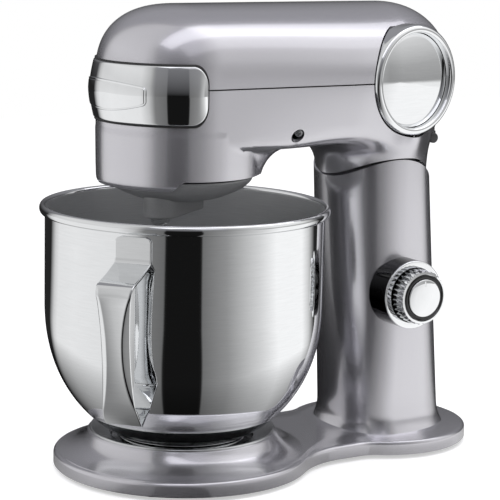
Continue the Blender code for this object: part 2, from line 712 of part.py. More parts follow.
# ---------------------------------------------------------------- the head's shells
# Plan of the head below its parting line: height, nose radius, half width and rear reach
ARM_SECTIONS = ((PARTING - GAP / 2, NOSE_R, HEAD_REAR_SIDE, HEAD_REAR_R),
                (PARTING - 0.014, NOSE_R - 0.0001, HEAD_REAR_SIDE - 0.0009, HEAD_REAR_R - 0.0025),
                (PARTING - 0.028, NOSE_R - 0.0003, HEAD_REAR_SIDE - 0.0031, HEAD_REAR_R - 0.0075),
                (ARM_UNDER + 0.0100, NOSE_R - 0.0005, HEAD_REAR_SIDE - 0.0051, HEAD_REAR_R - 0.0117),
                (ARM_UNDER + 0.0040, NOSE_R - 0.0012, HEAD_REAR_SIDE - 0.0071, HEAD_REAR_R - 0.0141),
                (ARM_UNDER + 0.0010, NOSE_R - 0.0034, HEAD_REAR_SIDE - 0.0089, HEAD_REAR_R - 0.0157),
                (ARM_UNDER, NOSE_R - 0.0064, HEAD_REAR_SIDE - 0.0097, HEAD_REAR_R - 0.0165))


def medallion_turn(side):
    return (0, math.pi / 2, MEDAL_TOE if side > 0 else math.pi - MEDAL_TOE)


def shell_openings(shell):
    """Cuts that both shells share: the front outlet and the two medallion seats."""
    boolean(shell, bpy.data.objects["outlet_opening"])
    boolean(shell, bpy.data.objects["medallion_openings"])


def make_shell_openings():
    add_object("outlet_opening", rod_mesh(OUTLET_R + 0.0008, 0.05, "Y", (0, NOSE - 0.095, OUTLET_Z), 32))
    seats = []
    for side in (1, -1):
        bm = rod_mesh(MEDAL_R + GAP, MEDAL_DEPTH + 0.012, "Z", (0, 0, -MEDAL_DEPTH - 0.002), 48)
        normal = Vector((side * math.cos(MEDAL_TOE), math.sin(MEDAL_TOE), 0))
        turn = Vector((0, 0, 1)).rotation_difference(normal).to_matrix().to_4x4()
        place = Matrix.Translation((side * MEDAL_FACE, COL_Y, MEDAL_Z))
        bmesh.ops.transform(bm, matrix=place @ turn, verts=bm.verts)
        seats.append(bm)
    add_object("medallion_openings", joined(*seats))


def head_top_shell(pivot_empty):
    def rings(inset, low):
        top = HEAD_TOP - inset
        heights = [low] + [CROWN_START + (top - CROWN_START) * share
                           for share in (0.0, 0.26, 0.48, 0.66, 0.80, 0.90, 0.965, 0.998)]
        found = []
        for z in heights:
            nose = (NOSE_R - inset) * crown(z, NOSE_POWER, inset)
            side = (HEAD_REAR_SIDE - inset) * crown(z, (NOSE_POWER + REAR_POWER) / 2, inset)
            rear = (HEAD_REAR_R - inset) * crown(z, REAR_POWER, inset)
            found.append(flat_ring(capsule(nose, side, rear), z))
        return found
    shell = add_object("head_top_shell", loft_mesh(rings(0, PARTING + GAP / 2)), "silver_paint", pivot_empty)
    boolean(shell, add_object("top_shell_core", loft_mesh(rings(HEAD_WALL, PARTING - 0.01))))
    shell_openings(shell)


def neck_mesh(inset, low, high):
    """The head's neck, whose plan is the column's plan at the seam."""
    plan = column_section(SEAM_TOP, inset)
    return loft_mesh([[(x, y, z) for x, y, _ in plan] for z in (low, high)])


def head_lower_shell(pivot_empty):
    outer = [flat_ring(capsule(nose, side, rear), z) for z, nose, side, rear in ARM_SECTIONS[::-1]]
    shell = add_object("head_lower_shell", loft_mesh(outer), "silver_paint", pivot_empty)
    top = ARM_UNDER + 0.009
    drum = [(0, top), (DRUM_R - 0.0004, top), (DRUM_R, ARM_UNDER - 0.004), (DRUM_R - 0.0001, DRUM_STEP + 0.002),
            (DRUM_R - 0.0008, DRUM_LIP + 0.0030), (DRUM_R - 0.0018, DRUM_LIP), (0, DRUM_LIP)]
    boolean(shell, turned("drum_form", drum, None, (0, NOSE, 0), 48), "UNION")
    boolean(shell, add_object("neck_form", neck_mesh(0, SEAM_TOP - 0.030, top - 0.0007)), "UNION")
    floor = ARM_UNDER + 0.005
    inner = []
    for z, nose, side, rear in ARM_SECTIONS[::-1]:
        high = z + (HEAD_WALL if z < floor else 0) + (0.001 if z > PARTING - 0.001 else 0)
        inner.append(flat_ring(capsule(nose - HEAD_WALL, side - HEAD_WALL, rear - HEAD_WALL), high))
    boolean(shell, add_object("arm_core", loft_mesh(inner)))
    boolean(shell, cylinder_cutter("drum_core", DRUM_INNER, DRUM_LIP - 0.01, top + 0.0017,
                                   centre=(0, NOSE, 0), segments=48))
    boolean(shell, add_object("neck_core", neck_mesh(HEAD_WALL, SEAM_TOP - 0.040, top + 0.0005)))
    step = [(at(DRUM_STEP_Y) - 0.0085, DRUM_LIP - 0.01), (at(DRUM_STEP_Y) - 0.0085, DRUM_LIP + 0.0010),
            (at(DRUM_STEP_Y), DRUM_STEP), (at(0.08), DRUM_STEP), (at(0.08), DRUM_LIP - 0.01)]
    reach = DRUM_R + 0.0074
    boolean(shell, add_object("drum_step", prism_mesh([(-reach, y, z) for y, z in step], (2 * reach, 0, 0))))
    boolean(shell, cylinder_cutter("seam_form", SEAM_R + SEAM_GAP, -0.08, 0.08, "X", (0, SEAM_Y, SEAM_Z), 64))
    notch = KNUCKLE_HALF + 0.0013
    boolean(shell, cylinder_cutter("barrel_notch", KNUCKLE_R + HINGE_NOTCH - 0.0010, -notch, notch, "X",
                                   (0, HINGE_Y, HINGE_Z), 24))
    slot = box_mesh((-LOCK_HALF - 0.0006, COL_Y + 0.030, LOCK_PIVOT_Z - LOCK_THICK / 2 - 0.0065),
                    (LOCK_HALF + 0.0006, COL_Y + 0.070, LOCK_PIVOT_Z + LOCK_THICK / 2 + 0.0010))
    boolean(shell, add_object("lever_slot", slot))
    shell_openings(shell)
    boolean(shell, cylinder_cutter("screw_holes", SCREW_R + GAP, -0.08, 0.08, "X", (0, at(SCREW_Y), SCREW_Z), 16))


def arm_screws(pivot_empty):
    for name, side in (("right", 1), ("left", -1)):
        inner = HEAD_REAR_SIDE - 0.0037
        start = inner if side > 0 else -inner - 0.0045
        add_object("arm_screw_" + name, rod_mesh(SCREW_R, 0.0045, "X", (start, at(SCREW_Y), SCREW_Z), 12),
                   "steel", pivot_empty)


def medallions(pivot_empty):
    inner = MEDAL_R - MEDAL_RING
    ring = [(inner, -0.0004), (inner + 0.002, 0.0014), (MEDAL_R - 0.002, 0.0010), (MEDAL_R, -0.0006),
            (MEDAL_R, -MEDAL_DEPTH), (inner, -MEDAL_DEPTH)]
    disc = [(0, -0.0010), (inner * 0.55, -0.0016), (inner - GAP, -0.0036), (inner - GAP, -0.0065), (0, -0.0065)]
    for name, side in (("right", 1), ("left", -1)):
        place = (side * MEDAL_FACE, COL_Y, MEDAL_Z)
        for kind, profile, slot in (("ring", ring, "chrome"), ("disc", disc, "polished_steel")):
            piece = turned(f"medallion_{kind}_{name}", profile, slot, place, 40, pivot_empty)
            piece.rotation_euler = medallion_turn(side)


def head_hinge(pivot_empty):
    rear = COL_Y + 0.0390
    bracket = add_object("head_hinge_bracket",
                         box_mesh((-KNUCKLE_MID, rear - 0.0045, HINGE_Z + 0.001), (KNUCKLE_MID, rear, DECK_Z - GAP)),
                         "steel", pivot_empty)
    knuckle = rod_mesh(KNUCKLE_R, 2 * KNUCKLE_MID, "X", (-KNUCKLE_MID, HINGE_Y, HINGE_Z), 16)
    boolean(bracket, add_object("head_knuckle", knuckle), "UNION")
    boolean(bracket, bpy.data.objects["hinge_bore"])


# ---------------------------------------------------------------- the head lock
def lock_deck(pivot_empty):
    """Plate across the neck that carries the lock lever's pin and guides the bolt."""
    plan = column_section(SEAM_TOP, HEAD_WALL + GAP)
    top = DECK_Z + DECK_THICK
    deck = add_object("lock_deck", loft_mesh([[(x, y, z) for x, y, _ in plan] for z in (DECK_Z, top)]),
                      "grey_casting", pivot_empty)
    ears, posts = [], []
    for side in (1, -1):
        x0, x1 = sorted((side * (LOCK_HALF + 0.0006), side * (LOCK_HALF + 0.0042)))
        ears.append(box_mesh((x0, LOCK_PIVOT_Y - 0.006, top - 0.001), (x1, LOCK_PIVOT_Y + 0.006, LOCK_PIVOT_Z + 0.006)))
    for y in (COL_Y - 0.010, COL_Y + 0.008):
        posts.append(box_mesh((-0.006, y, top - 0.001), (0.006, y + 0.004, bolt_height() - GAP)))
    boolean(deck, add_object("deck_ears", joined(*(ears + posts))), "UNION")
    slot = box_mesh((-0.0085, COL_Y + KEEPER_BACK - 0.0155, DECK_Z - 0.005),
                    (0.0085, COL_Y + KEEPER_BACK + KEEPER_THICK + RUN, top + 0.005))
    boolean(deck, add_object("keeper_slot", slot))
    boolean(deck, cylinder_cutter("lever_pin_holes", 0.0023, -0.03, 0.03, "X", (0, LOCK_PIVOT_Y, LOCK_PIVOT_Z), 12))
    half = LOCK_HALF + 0.0042
    add_object("lever_pin", rod_mesh(0.0019, 2 * half, "X", (-half, LOCK_PIVOT_Y, LOCK_PIVOT_Z), 12),
               "steel", pivot_empty)


def lock_lever(pivot_empty):
    tab = box_mesh((-LOCK_HALF, LOCK_PIVOT_Y - 0.004, LOCK_PIVOT_Z - LOCK_THICK / 2),
                   (LOCK_HALF, COL_Y + LOCK_REACH, LOCK_PIVOT_Z + LOCK_THICK / 2), 0.0018, 2)
    lever = add_object("lock_lever", tab, "black_plastic", pivot_empty)
    tip = bolt_height() + 0.0012
    boolean(lever, add_object("lever_arm", box_mesh((-0.005, LOCK_PIVOT_Y - 0.003, tip),
                                                    (0.005, LOCK_PIVOT_Y + 0.003, LOCK_PIVOT_Z))), "UNION")
    boolean(lever, bpy.data.objects["lever_pin_holes"])


def lock_bolt(pivot_empty):
    bar = box_mesh((-BOLT_HALF, COL_Y + BOLT_NOSE_BACK, bolt_height()),
                   (BOLT_HALF, LOCK_PIVOT_Y - 0.003 - RUN, bolt_height() + BOLT_HEIGHT), 0.0006)
    add_object("lock_bolt", bar, "steel", pivot_empty)


# ---------------------------------------------------------------- the planetary drive
def planetary(pivot_empty):
    place = (0, NOSE, 0)
    r = PLANET_DISC_R
    disc = [(0, PLANET_TOP), (0.016, PLANET_TOP), (0.020, PLANET_TOP - 0.009), (0.042, PLANET_TOP - 0.0065),
            (0.051, PLANET_TOP - 0.001), (0.053, PLANET_TOP), (r, PLANET_TOP), (r, PLANET_TOP - 0.0018),
            (0.0550, 0.2262), (0.0515, 0.2230), (0.0475, 0.2202), (0.0390, 0.2164), (0.0310, 0.2136),
            (0.0200, 0.2122), (0, 0.2118)]
    housing = turned("planetary_housing", disc, "grey_casting", place, 40, pivot_empty)
    out = Vector((math.cos(REST_ANGLE), math.sin(REST_ANGLE), 0))
    side = Vector((-out.y, out.x, 0))
    half = ARM_WIDTH / 2
    plan = [(-ARM_TAIL, -half)]
    plan += [(ECCENTRIC + half * math.sin(a), -half * math.cos(a)) for a in (math.pi * i / 8 for i in range(9))]
    plan += [(-ARM_TAIL, half)]
    centre = Vector(place)
    rings = []
    for height in (lambda u: ARM_BOTTOM + 0.006 * max(0.0, (0.012 - u) / (0.012 + ARM_TAIL)), lambda u: 0.2225):
        rings.append([centre + out * u + side * v + Vector((0, 0, height(u))) for u, v in plan])
    boolean(housing, add_object("planet_arm", loft_mesh(rings)), "UNION")
    boolean(housing, cylinder_cutter("planet_bore", SHAFT_R + 0.0004, 0.19, 0.24, centre=(SHAFT_X, SHAFT_Y, 0),
                                     segments=16))
    spindle = [(0, 0.3340), (SPINDLE_R, 0.3340), (SPINDLE_R, PLANET_TOP + 0.0026), (0.0112, PLANET_TOP + 0.0026),
               (0.0112, PLANET_TOP + GAP), (0, PLANET_TOP + GAP)]
    turned("main_spindle", spindle, "steel", place, 16, pivot_empty)
    low, high = BELT_Z - BELT_WIDTH / 2, BELT_Z + BELT_WIDTH / 2
    wheel = [(SPINDLE_R + GAP, high), (0.012, high), (0.012, BELT_Z + 0.0015), (0.035, BELT_Z + 0.0015), (0.035, high),
             (BIG_PULLEY_R, high), (BIG_PULLEY_R, low), (0.035, low), (0.035, BELT_Z - 0.0015),
             (0.012, BELT_Z - 0.0015), (0.012, low), (SPINDLE_R + GAP, low)]
    turned("driven_pulley", wheel, "gear_plastic", place, 40, pivot_empty)


def bevel_mesh(axis, turn=0.0):
    """A bevel gear whose teeth point at the apex where both bevel axes cross; axis points away from it."""
    axis = Vector(axis)
    across = Vector((1, 0, 0))
    up = axis.cross(across)
    teeth = gear_outline(BEVEL_TEETH, 2 * BEVEL_R / BEVEL_TEETH)
    rings = []
    for distance in (BEVEL_R, BEVEL_R - BEVEL_FACE):
        plane = rolled(teeth, turn, distance / BEVEL_R)
        rings.append([BEVEL_APEX + axis * distance + across * x + up * y for x, y in plane])
    return loft_mesh(rings)


def bevel_gears(spin_empty, outlet_empty):
    drive = add_object("spindle_bevel_gear", bevel_mesh((0, 0, -1)), "steel", spin_empty)
    hub_low = OUTLET_Z - BEVEL_R - 0.004
    boolean(drive, cylinder_cutter("bevel_hub", 0.0085, hub_low, OUTLET_Z - BEVEL_R + 0.001,
                                   centre=(0, NOSE, 0), segments=16), "UNION")
    boolean(drive, cylinder_cutter("bevel_bore", SPINDLE_R + GAP, hub_low - 0.01, OUTLET_Z,
                                   centre=(0, NOSE, 0), segments=16))
    half_tooth = math.pi / BEVEL_TEETH
    driven = add_object("outlet_bevel_gear", bevel_mesh((0, -1, 0), half_tooth), "steel", outlet_empty)
    back = NOSE - BEVEL_R - 0.004
    boolean(driven, cylinder_cutter("outlet_hub", 0.0085, back, NOSE - BEVEL_R + 0.001, "Y",
                                    (0, 0, OUTLET_Z), 16), "UNION")
    boolean(driven, cylinder_cutter("outlet_bore", OUTLET_SHAFT_R + GAP, back - 0.01, NOSE, "Y",
                                    (0, 0, OUTLET_Z), 16))
    tip = NOSE - GEARBOX_R - OUTLET_BEARING - 0.0014
    tail = NOSE - BEVEL_R + BEVEL_FACE - 0.0005
    shaft = rod_mesh(OUTLET_SHAFT_R, tail - tip, "Y", (0, tip, OUTLET_Z), 16)
    add_object("outlet_shaft", shaft, "steel", outlet_empty)


def attachment(pivot_empty):
    place = (SHAFT_X, SHAFT_Y, 0)
    top = RING_BOTTOM + RING_HEIGHT - GAP
    profile = [(0, top), (SHAFT_R, top), (SHAFT_R, ARM_BOTTOM - 0.0008), (0.0072, ARM_BOTTOM - 0.0008),
               (0.0072, ARM_BOTTOM - 0.0035), (SHAFT_R, ARM_BOTTOM - 0.0035), (SHAFT_R, SHAFT_END + 0.001),
               (SHAFT_R - 0.001, SHAFT_END), (0, SHAFT_END)]
    shaft = turned("attachment_shaft", profile, "steel", place, 16, pivot_empty)
    boolean(shaft, cylinder_cutter("drive_pin_hole", 0.0020 + GAP, SHAFT_X - 0.02, SHAFT_X + 0.02, "X",
                                   (0, SHAFT_Y, DRIVE_PIN_Z), 12))
    pin = rod_mesh(0.0020, 2 * DRIVE_PIN_HALF, "X", (SHAFT_X - DRIVE_PIN_HALF, SHAFT_Y, DRIVE_PIN_Z), 12)
    add_object("drive_pin", pin, "steel", pivot_empty)
    half_tooth = math.pi / PLANET_TEETH
    teeth = rolled(gear_outline(PLANET_TEETH, GEAR_MODULE), REST_ANGLE + half_tooth)
    low = RING_BOTTOM + GAP
    outline = [(SHAFT_X + x, SHAFT_Y + y, low) for x, y in teeth]
    pinion = add_object("planet_pinion", prism_mesh(outline, (0, 0, top - low)), "steel", pivot_empty)
    boolean(pinion, cylinder_cutter("pinion_bore", SHAFT_R + GAP, low - 0.01, top + 0.01,
                                    centre=(SHAFT_X, SHAFT_Y, 0), segments=16))


# ---------------------------------------------------------------- the gearbox and the outlet
def gearbox(pivot_empty):
    place = (0, NOSE, 0)
    plate, wall = GEARBOX_PLATE, GEARBOX_R
    bore = BEARING_R + GAP
    cup = [(wall - 0.003, GEARBOX_LID), (wall, GEARBOX_LID), (wall, plate + 0.003), (DRUM_INNER - GAP, plate + 0.003),
           (DRUM_INNER - GAP, plate), (bore, plate), (bore, plate + 0.0116), (bore + 0.0032, plate + 0.0116),
           (bore + 0.0032, plate + 0.003), (wall - 0.003, plate + 0.003)]
    housing = turned("gearbox_housing", cup, "grey_casting", place, 48, pivot_empty)
    boolean(housing, cylinder_cutter("gearbox_outlet", OUTLET_SHAFT_R + 0.0015, NOSE - 0.06, NOSE - 0.03, "Y",
                                     (0, 0, OUTLET_Z), 16))
    lid_low = GEARBOX_LID + GAP
    turned("gearbox_lid", tube_profile(wall, bore, lid_low, lid_low + 0.003), "grey_casting", place, 40, pivot_empty)
    for name, low in (("lower", plate + 0.0008), ("upper", GEARBOX_LID - 0.0030)):
        turned("spindle_bearing_" + name, tube_profile(BEARING_R, SPINDLE_R + GAP, low, low + BEARING_HEIGHT),
               "steel", place, 20, pivot_empty)
    ring = add_object("ring_gear", rod_mesh(RING_OUTER_R, RING_HEIGHT, "Z", (0, NOSE, RING_BOTTOM), 48),
                      "steel", pivot_empty)
    teeth = rolled(gear_outline(RING_TEETH, GEAR_MODULE, inner=True), REST_ANGLE)
    outline = [(x, NOSE + y, RING_BOTTOM - 0.01) for x, y in teeth]
    boolean(ring, add_object("ring_teeth", prism_mesh(outline, (0, 0, RING_HEIGHT + 0.02))))


def outlet(pivot_empty):
    place = (0, NOSE, OUTLET_Z)
    back = -GEARBOX_R - 0.0004
    mouth = -math.sqrt(NOSE_R ** 2 - OUTLET_R ** 2)
    turned("outlet_housing", tube_profile(OUTLET_R, OUTLET_BORE_R, mouth, back), "grey_casting", place,
           32, pivot_empty, "Y")
    turned("outlet_bearing", tube_profile(OUTLET_BORE_R - GAP, OUTLET_SHAFT_R + GAP, back - 0.0005 - OUTLET_BEARING,
                                          back - 0.0005),
           "steel", place, 20, pivot_empty, "Y")


def port_cover(pivot_empty):
    inner = NOSE_R + 0.0006
    edge = inner + 0.0010
    out = NOSE_R + COVER_WALL + COVER_BULGE
    z = OUTLET_Z
    h = COVER_HALF
    section = [(inner, z - h), (edge, z - h), (out - 0.0010, z - h * 0.62), (out, z - h * 0.28), (out, z + h * 0.28),
               (out - 0.0010, z + h * 0.62), (edge, z + h), (inner, z + h)]
    front = -math.pi / 2
    span = COVER_SPAN + math.radians(4)
    cover = add_object("port_cover", sector_mesh(section, front - span, front + span, 24, (0, NOSE)), "chrome",
                       pivot_empty)
    corner = 0.013
    rear = NOSE - inner * math.cos(COVER_SPAN)
    plan = [(NOSE - 0.09, z - h - 0.001), (rear - corner, z - h - 0.001)]
    plan += arc(rear - corner, z - h + corner - 0.0001, corner, -math.pi / 2, 0, 5)
    plan += arc(rear - corner, z + h - corner + 0.0001, corner, 0, math.pi / 2, 5)
    plan += [(rear - corner, z + h + 0.001), (NOSE - 0.09, z + h + 0.001)]
    boolean(cover, add_object("cover_form", prism_mesh([(-0.08, y, zz) for y, zz in plan], (0.16, 0, 0))),
            "INTERSECT")
    plate = [(out + GAP, z - PLAQUE_HALF), (out + 0.0010, z - PLAQUE_HALF), (out + 0.0010, z + PLAQUE_HALF),
             (out + GAP, z + PLAQUE_HALF)]
    add_object("cover_plaque", sector_mesh(plate, front - PLAQUE_SPAN, front + PLAQUE_SPAN, 14, (0, NOSE)),
               "polished_steel", pivot_empty)


# ---------------------------------------------------------------- the motor and belt
def motor_case(pivot_empty):
    place = (0, MOTOR, 0)
    low = ARM_UNDER + HEAD_WALL + 0.0005
    inner = MOTOR_R - MOTOR_WALL
    hole = ROTOR_SHAFT_R + 0.0005
    can = [(inner, MOTOR_TOP), (MOTOR_R, MOTOR_TOP), (MOTOR_R, low), (hole, low), (hole, low + MOTOR_WALL),
           (inner, low + MOTOR_WALL)]
    turned("motor_can", can, "steel", place, 32, pivot_empty)
    turned("motor_end_cap", tube_profile(MOTOR_R, hole, MOTOR_TOP + GAP, MOTOR_TOP + 0.0033), "black_plastic",
           place, 32, pivot_empty)
    turned("motor_windings", tube_profile(inner - GAP, ROTOR_R + 0.001, low + 0.008, MOTOR_TOP - 0.008),
           "copper_windings", place, 24, pivot_empty)


def rotor(pivot_empty):
    place = (0, MOTOR, 0)
    low = ARM_UNDER + HEAD_WALL + 0.0013
    r = ROTOR_SHAFT_R
    profile = [(0, BELT_Z + 0.0075), (r, BELT_Z + 0.0075), (r, MOTOR_TOP - 0.002), (0.011, MOTOR_TOP - 0.002),
               (0.011, MOTOR_TOP - 0.009), (r, MOTOR_TOP - 0.009), (r, MOTOR_TOP - 0.012), (ROTOR_R, MOTOR_TOP - 0.012),
               (ROTOR_R, low + 0.010), (r, low + 0.010), (r, low), (0, low)]
    turned("motor_rotor", profile, "copper_windings", place, 24, pivot_empty)
    turned("motor_pulley", tube_profile(SMALL_PULLEY_R, r + GAP, BELT_Z - BELT_WIDTH / 2, BELT_Z + BELT_WIDTH / 2),
           "gear_plastic", place, 20, pivot_empty)
    disc_low = MOTOR_TOP + 0.0050
    fan = turned("cooling_fan", tube_profile(FAN_R, r + GAP, disc_low, disc_low + 0.0012), "black_plastic", place,
                 24, pivot_empty)
    blades = []
    for i in range(FAN_BLADES):
        bm = box_mesh((0.010, -0.0006, disc_low + 0.0006), (FAN_R - 0.001, 0.0006, disc_low + 0.0050))
        turn = Matrix.Translation(place) @ Matrix.Rotation(2 * math.pi * i / FAN_BLADES, 4, "Z")
        bmesh.ops.transform(bm, matrix=turn, verts=bm.verts)
        blades.append(bm)
    boolean(fan, add_object("fan_blades", joined(*blades)), "UNION")


def drive_belt(pivot_empty):
    def loop(extra, z):
        big, small = BIG_PULLEY_R + extra, SMALL_PULLEY_R + extra
        lean = math.asin((big - small) / (MOTOR - NOSE))
        half = arc(0, NOSE, big, -math.pi / 2, lean, 12) + arc(0, MOTOR, small, lean, math.pi / 2, 6)
        return [(x, y, z) for x, y in half + [(-x, y) for x, y in half[-2:0:-1]]]
    inner, outer = GAP, GAP + BELT_THICK
    low, high = BELT_Z - BELT_WIDTH / 2 + 0.0005, BELT_Z + BELT_WIDTH / 2 - 0.0005
    band = tube_loft_mesh(loop(outer, low), loop(outer, high), loop(inner, high), loop(inner, low))
    bmesh.ops.remove_doubles(band, verts=band.verts, dist=0.000001)
    add_object("drive_belt", band, "rubber", pivot_empty)


# ---------------------------------------------------------------- the speed dial
def speed_dial(pivot_empty):
    place = (0, COL_Y, DIAL_Z)
    back = BEZEL_OUT + 0.0004
    start = COLUMN_TOP_HALF - COLUMN_WALL - 0.0042 + GAP
    shaft = [(0, back), (DIAL_SHAFT_R, back), (DIAL_SHAFT_R, start), (0, start)]
    turned("dial_shaft", shaft, "steel", place, 12, pivot_empty, "X")
    grip = [(0, back + 0.0045), (DIAL_FACE_R + GAP, back + 0.0045), (DIAL_FACE_R + GAP, DIAL_OUT - 0.0012),
            (DIAL_R - 0.0006, DIAL_OUT - 0.0012), (DIAL_R, DIAL_OUT - 0.0030), (DIAL_R, back + GAP), (0, back + GAP)]
    turned("dial_grip", grip, "dark_chrome", place, 32, pivot_empty, "X")
    face = [(0, DIAL_OUT), (DIAL_FACE_R - 0.0015, DIAL_OUT - 0.0003), (DIAL_FACE_R, DIAL_OUT - 0.0014),
            (DIAL_FACE_R, back + 0.0045 + GAP), (0, back + 0.0045 + GAP)]
    turned("dial_face", face, "chrome", place, 32, pivot_empty, "X")


def build():
    clear_scene()
    base_casting()
    bottom_cover()
    bayonet_plate()
    column_casting()
    column_hinge()
    keeper()
    dial_fittings()
    cord_gland()

    bowl_axis = pivot("bowl_axis", (0, BOWL_Y, 0))
    bowl(bowl_axis)
    bowl_handle(bowl_axis)

    head_axis = pivot("head_axis", (0, HINGE_Y, HINGE_Z))
    make_shell_openings()
    head_top_shell(head_axis)
    head_lower_shell(head_axis)
    arm_screws(head_axis)
    medallions(head_axis)
    head_hinge(head_axis)
    lock_deck(head_axis)
    gearbox(head_axis)
    outlet(head_axis)
    motor_case(head_axis)
    drive_belt(head_axis)

    lock_lever(pivot("lever_axis", (0, LOCK_PIVOT_Y, LOCK_PIVOT_Z)))
    lock_bolt(pivot("bolt_axis", (0, LOCK_PIVOT_Y, bolt_height())))
    port_cover(pivot("cover_axis", (0, NOSE, OUTLET_Z)))
    spindle_axis = pivot("spindle_axis", (0, NOSE, 0))
    planetary(spindle_axis)
    bevel_gears(spindle_axis, pivot("outlet_axis", (0, NOSE, OUTLET_Z)))
    attachment(pivot("attachment_axis", (SHAFT_X, SHAFT_Y, 0)))
    rotor(pivot("rotor_axis", (0, MOTOR, 0)))
    speed_dial(pivot("dial_axis", (0, COL_Y, DIAL_Z)))


if __name__ == "__main__":
    build()
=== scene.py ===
"""Looks of the tilt-head stand mixer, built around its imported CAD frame.

Metres, +Z up, the nose and bowl at -Y and the speed dial at +X. Distances along Y in the size
fields are measured from the bowl's axis, and heights from the table.
"""

import json
import logging
import math
from dataclasses import dataclass, field
from enum import Enum
from typing import Callable, Sequence

import bmesh
import bpy
import numpy as np
from mathutils import Matrix, Vector

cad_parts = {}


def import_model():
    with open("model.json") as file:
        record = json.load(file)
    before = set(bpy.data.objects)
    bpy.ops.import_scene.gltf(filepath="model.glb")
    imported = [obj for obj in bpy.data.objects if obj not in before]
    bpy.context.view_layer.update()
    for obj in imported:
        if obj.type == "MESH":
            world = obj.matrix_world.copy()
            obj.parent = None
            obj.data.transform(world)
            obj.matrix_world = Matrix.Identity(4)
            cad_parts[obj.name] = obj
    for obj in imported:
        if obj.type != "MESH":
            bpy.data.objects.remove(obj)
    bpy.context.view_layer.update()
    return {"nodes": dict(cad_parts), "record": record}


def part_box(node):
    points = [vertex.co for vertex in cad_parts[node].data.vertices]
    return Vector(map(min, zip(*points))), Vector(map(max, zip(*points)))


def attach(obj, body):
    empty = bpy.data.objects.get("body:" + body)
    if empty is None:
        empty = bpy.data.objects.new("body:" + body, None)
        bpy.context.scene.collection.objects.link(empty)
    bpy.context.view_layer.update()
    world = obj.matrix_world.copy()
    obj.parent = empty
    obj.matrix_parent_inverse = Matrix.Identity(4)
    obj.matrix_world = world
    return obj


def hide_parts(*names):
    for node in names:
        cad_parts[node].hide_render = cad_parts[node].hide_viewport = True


log = logging.getLogger("stand_mixer")
Point = tuple[float, float]
Colour = tuple[float, float, float]


class Slot(Enum):
    """Material slots of the record, by which the CAD nodes are given their finishes."""

    PAINT = "silver_paint"
    POLISHED = "polished_steel"
    CHROME = "chrome"
    DARK_CHROME = "dark_chrome"
    CASTING = "grey_casting"
    STEEL = "steel"
    GEAR = "gear_plastic"
    PLASTIC = "black_plastic"
    RUBBER = "rubber"
    COPPER = "copper_windings"
    BOARD = "circuit_board"


class Cut(Enum):
    """What a Boolean does with its second solid."""

    AWAY = "DIFFERENCE"
    ONTO = "UNION"
    SHARED = "INTERSECT"


# ---------------------------------------------------------------- shaping tools
def ease(t: float) -> float:
    """Smooth step from 0 to 1."""
    t = min(max(t, 0.0), 1.0)
    return t * t * (3 - 2 * t)


def eased(t: np.ndarray) -> np.ndarray:
    """Smooth step from 0 to 1, over an array."""
    t = np.clip(t, 0.0, 1.0)
    return t * t * (3 - 2 * t)


def smooth_line(points: Sequence[Point], steps: int = 8) -> list[Point]:
    """A Catmull-Rom line through the points.

    Args:
        points: Places the line passes through.
        steps: Stretches between one point and the next.

    Returns:
        The finer line, with both ends kept.
    """
    ends = [Vector(p) for p in points]
    ends = [2 * ends[0] - ends[1]] + ends + [2 * ends[-1] - ends[-2]]
    line = []
    for before, a, b, after in zip(ends, ends[1:], ends[2:], ends[3:]):
        for i in range(steps):
            t = i / steps
            line.append(tuple(0.5 * (2 * a + (b - before) * t + (2 * before - 5 * a + 4 * b - after) * t * t
                                     + (3 * a - before - 3 * b + after) * t ** 3)))
    return line + [tuple(points[-1])]


def arc_line(centre: Point, radii: Point, start: float, end: float, steps: int = 10) -> list[Point]:
    """Points on an ellipse's arc; the angles are in degrees."""
    turns = [math.radians(start + (end - start) * i / steps) for i in range(steps + 1)]
    return [(centre[0] + radii[0] * math.cos(a), centre[1] + radii[1] * math.sin(a)) for a in turns]


def finished(name: str, bm: bmesh.types.BMesh, finish: bpy.types.Material,
             crisp: float = 32.0) -> bpy.types.Object:
    """Makes a smooth-shaded object, with edges sharper than crisp degrees kept crisp.

    Args:
        name: The piece's name.
        bm: Its mesh, which is freed.
        finish: Its material.
        crisp: Edge angle, in degrees, from which shading breaks.

    Returns:
        The linked object, at the origin.
    """
    mesh = bpy.data.meshes.new(name)
    bm.to_mesh(mesh)
    bm.free()
    mesh.materials.append(finish)
    mesh.shade_smooth()
    mesh.set_sharp_from_angle(angle=math.radians(crisp))
    piece = bpy.data.objects.new(name, mesh)
    bpy.context.scene.collection.objects.link(piece)
    return piece


def closed_up(bm: bmesh.types.BMesh, dist: float = 1e-6) -> bmesh.types.BMesh:
    """Merges doubles and points every face outwards."""
    bmesh.ops.remove_doubles(bm, verts=bm.verts, dist=dist)
    bmesh.ops.dissolve_degenerate(bm, edges=bm.edges, dist=dist)
    bmesh.ops.recalc_face_normals(bm, faces=bm.faces)
    return bm


def placed(bm: bmesh.types.BMesh, matrix: Matrix) -> bmesh.types.BMesh:
    """Moves the whole mesh by a matrix."""
    bmesh.ops.transform(bm, matrix=matrix, verts=bm.verts)
    return bm


def along_x(place: Sequence[float], side: int = 1) -> Matrix:
    """Turns a mesh made about Z onto the X axis, its top towards side, and puts it in place."""
    return Matrix.Translation(place) @ Matrix.Rotation(side * math.pi / 2, 4, "Y")


